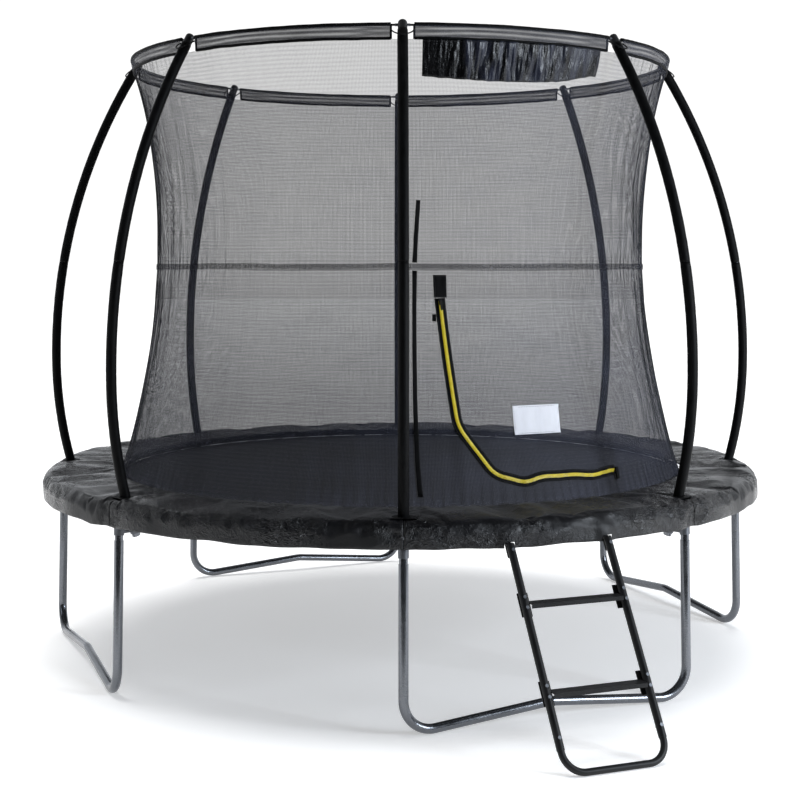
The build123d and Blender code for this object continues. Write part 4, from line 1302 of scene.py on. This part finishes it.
def patch(name, cx, cz, width, height, off, finish, thickness, bow=0.0, curl=0.0):
    across, down = 14, 10
    rows = []
    for i in range(across + 1):
        row = []
        for j in range(down + 1):
            a, b = 2 * i / across - 1, 2 * j / down - 1
            corner = curl * (abs(a) ** 6) * (abs(b) ** 6)
            row.append(on_net(cx + a * width / 2, cz - b * height / 2, off + corner + bow * (1 - b * b)))
        rows.append(row)
    made = sheet_piece(name, rows, finish, flat=lambda i, j: (i * width / across, j * height / down))
    faces_toward(made, DOOR_OUT)
    thicken(made, thickness)
    rim = made.modifiers.new("rim", "BEVEL")
    rim.width = min(0.0008, thickness * 0.4)
    rim.segments = 2
    return made


def stitched_box(name, cx, cz, width, height, off):
    corners = [(-1, -1), (1, -1), (1, 1), (-1, 1)]
    line = []
    for k in range(4):
        a, b = corners[k], corners[(k + 1) % 4]
        for t in np.linspace(0, 1, 12)[:-1]:
            x = cx + (a[0] + (b[0] - a[0]) * t) * width / 2
            z = cz + (a[1] + (b[1] - a[1]) * t) * height / 2
            line.append(on_net(x, z, off))
    return stitch_line(name, line, True, 0.007, 0.0045, 0.0006)


def make_door_fittings():
    top = patch("zip_end_patch", -0.275, 1.567, 0.046, 0.084, ON_NET, webbing, 0.0022)
    put(top, "frame", ["zip_top_patch"])
    put(stitched_box("zip_patch_stitches", -0.275, 1.567, 0.038, 0.074, 0.0046), "frame")
    place = (0.077, 1.066)
    label = patch("plain_label", *place, 0.200, 0.107, ON_NET, label_cloth, 0.0007, 0.0010, 0.004)
    net_blend(label, ["blank_label"])
    net_blend(stitched_box("label_stitches", *place, 0.190, 0.097, 0.0034))


def make_end_loop():
    """A small cord loop tied through the zip's last few teeth."""
    path = []
    for k in range(25):
        turn = math.tau * k / 24
        x = 0.440 + 0.011 * math.sin(turn)
        z = 0.832 - 0.016 * math.cos(turn) + 0.004 * math.sin(2 * turn)
        path.append(on_net(x, z, 0.0062 + 0.0022 * math.sin(turn)))
    net_blend(tube_piece("zip_end_loop", path, 0.0016, elastic, 8))


def make_strap():
    """Thin webbing down the net beside the front pole, in two lengths."""
    top, foot = Vector((-0.350, 1.885)), Vector((-0.405, 0.800))
    for label, high, low in (("upper", 1.885, 1.655), ("lower", 1.625, 0.800)):
        route = []
        for z in np.linspace(high, low, max(6, int((high - low) / 0.02))):
            x = top.x + (foot.x - top.x) * (top.y - z) / (top.y - foot.y)
            route.append(Vector((x + 0.0022 * hash_noise(z * 6, 3.0), z)))
        piece = ribbon(f"{label}_net_strap", route, 0.0080, 0.0024, webbing, 0.0010)
        if label == "upper":
            put(piece, "frame", ["net_strap"])
        else:
            net_blend(piece, ["net_strap"])


def make_banner():
    """Plain glossy nylon panel hanging from the sleeve, gathered into upright creases."""
    start, end = math.radians(-86.4), math.radians(-49.2)
    across, down = 220, 22
    rows = []
    for i in range(across + 1):
        share = i / across
        azimuth = start + (end - start) * share
        belly = 0.012 * math.sin(math.pi * min(1.0, share / 0.78))
        height = 0.128 + belly - 0.030 * smoothstep(0.72, 1.0, share)
        row = []
        for j in range(down + 1):
            s = j / down
            z = NET_TOP - 0.001 - height * s
            folds = hash_noise(azimuth * 42, s * 1.1, 0.7) * 0.0120
            folds += hash_noise(azimuth * 120, s * 3.0, 4.1) * 0.0040
            folds *= 0.35 + 0.65 * math.sin(math.pi * min(1.0, 0.15 + s * 0.8))
            folds *= smoothstep(0.10, 0.20, share) * (1 - 0.8 * smoothstep(0.76, 0.86, share))
            off = 0.0075 + 0.003 * math.sin(math.pi * s)
            waver = 0.003 * hash_noise(azimuth * 30, 8.0) * s
            row.append(polar(net_radius(z) + off + folds, azimuth, z + waver))
        rows.append(row)
    piece = sheet_piece("hanging_banner", rows, nylon, weave(0.0034, -0.006), thickness=0.0006)
    put(piece, "frame", ["banner"])
    for label, s in (("upper", 0.05), ("lower", 0.95)):
        line = []
        for i in range(2, across - 1, 2):
            p = rows[i][round(s * down)]
            out = Vector((p.x, p.y, 0)).normalized()
            line.append(p + out * 0.0009)
        put(stitch_line(f"banner_{label}_stitches", line), "frame")


for make in (
    make_net_panels,
    make_belt,
    make_hem,
    make_tunnels,
    make_ties,
    make_pole_sleeves,
    make_pads,
    make_pole_flaps,
    make_mat,
    make_springs,
    make_zip,
    make_door_fittings,
    make_end_loop,
    make_strap,
    make_banner,
):
    make()

bpy.context.view_layer.update()
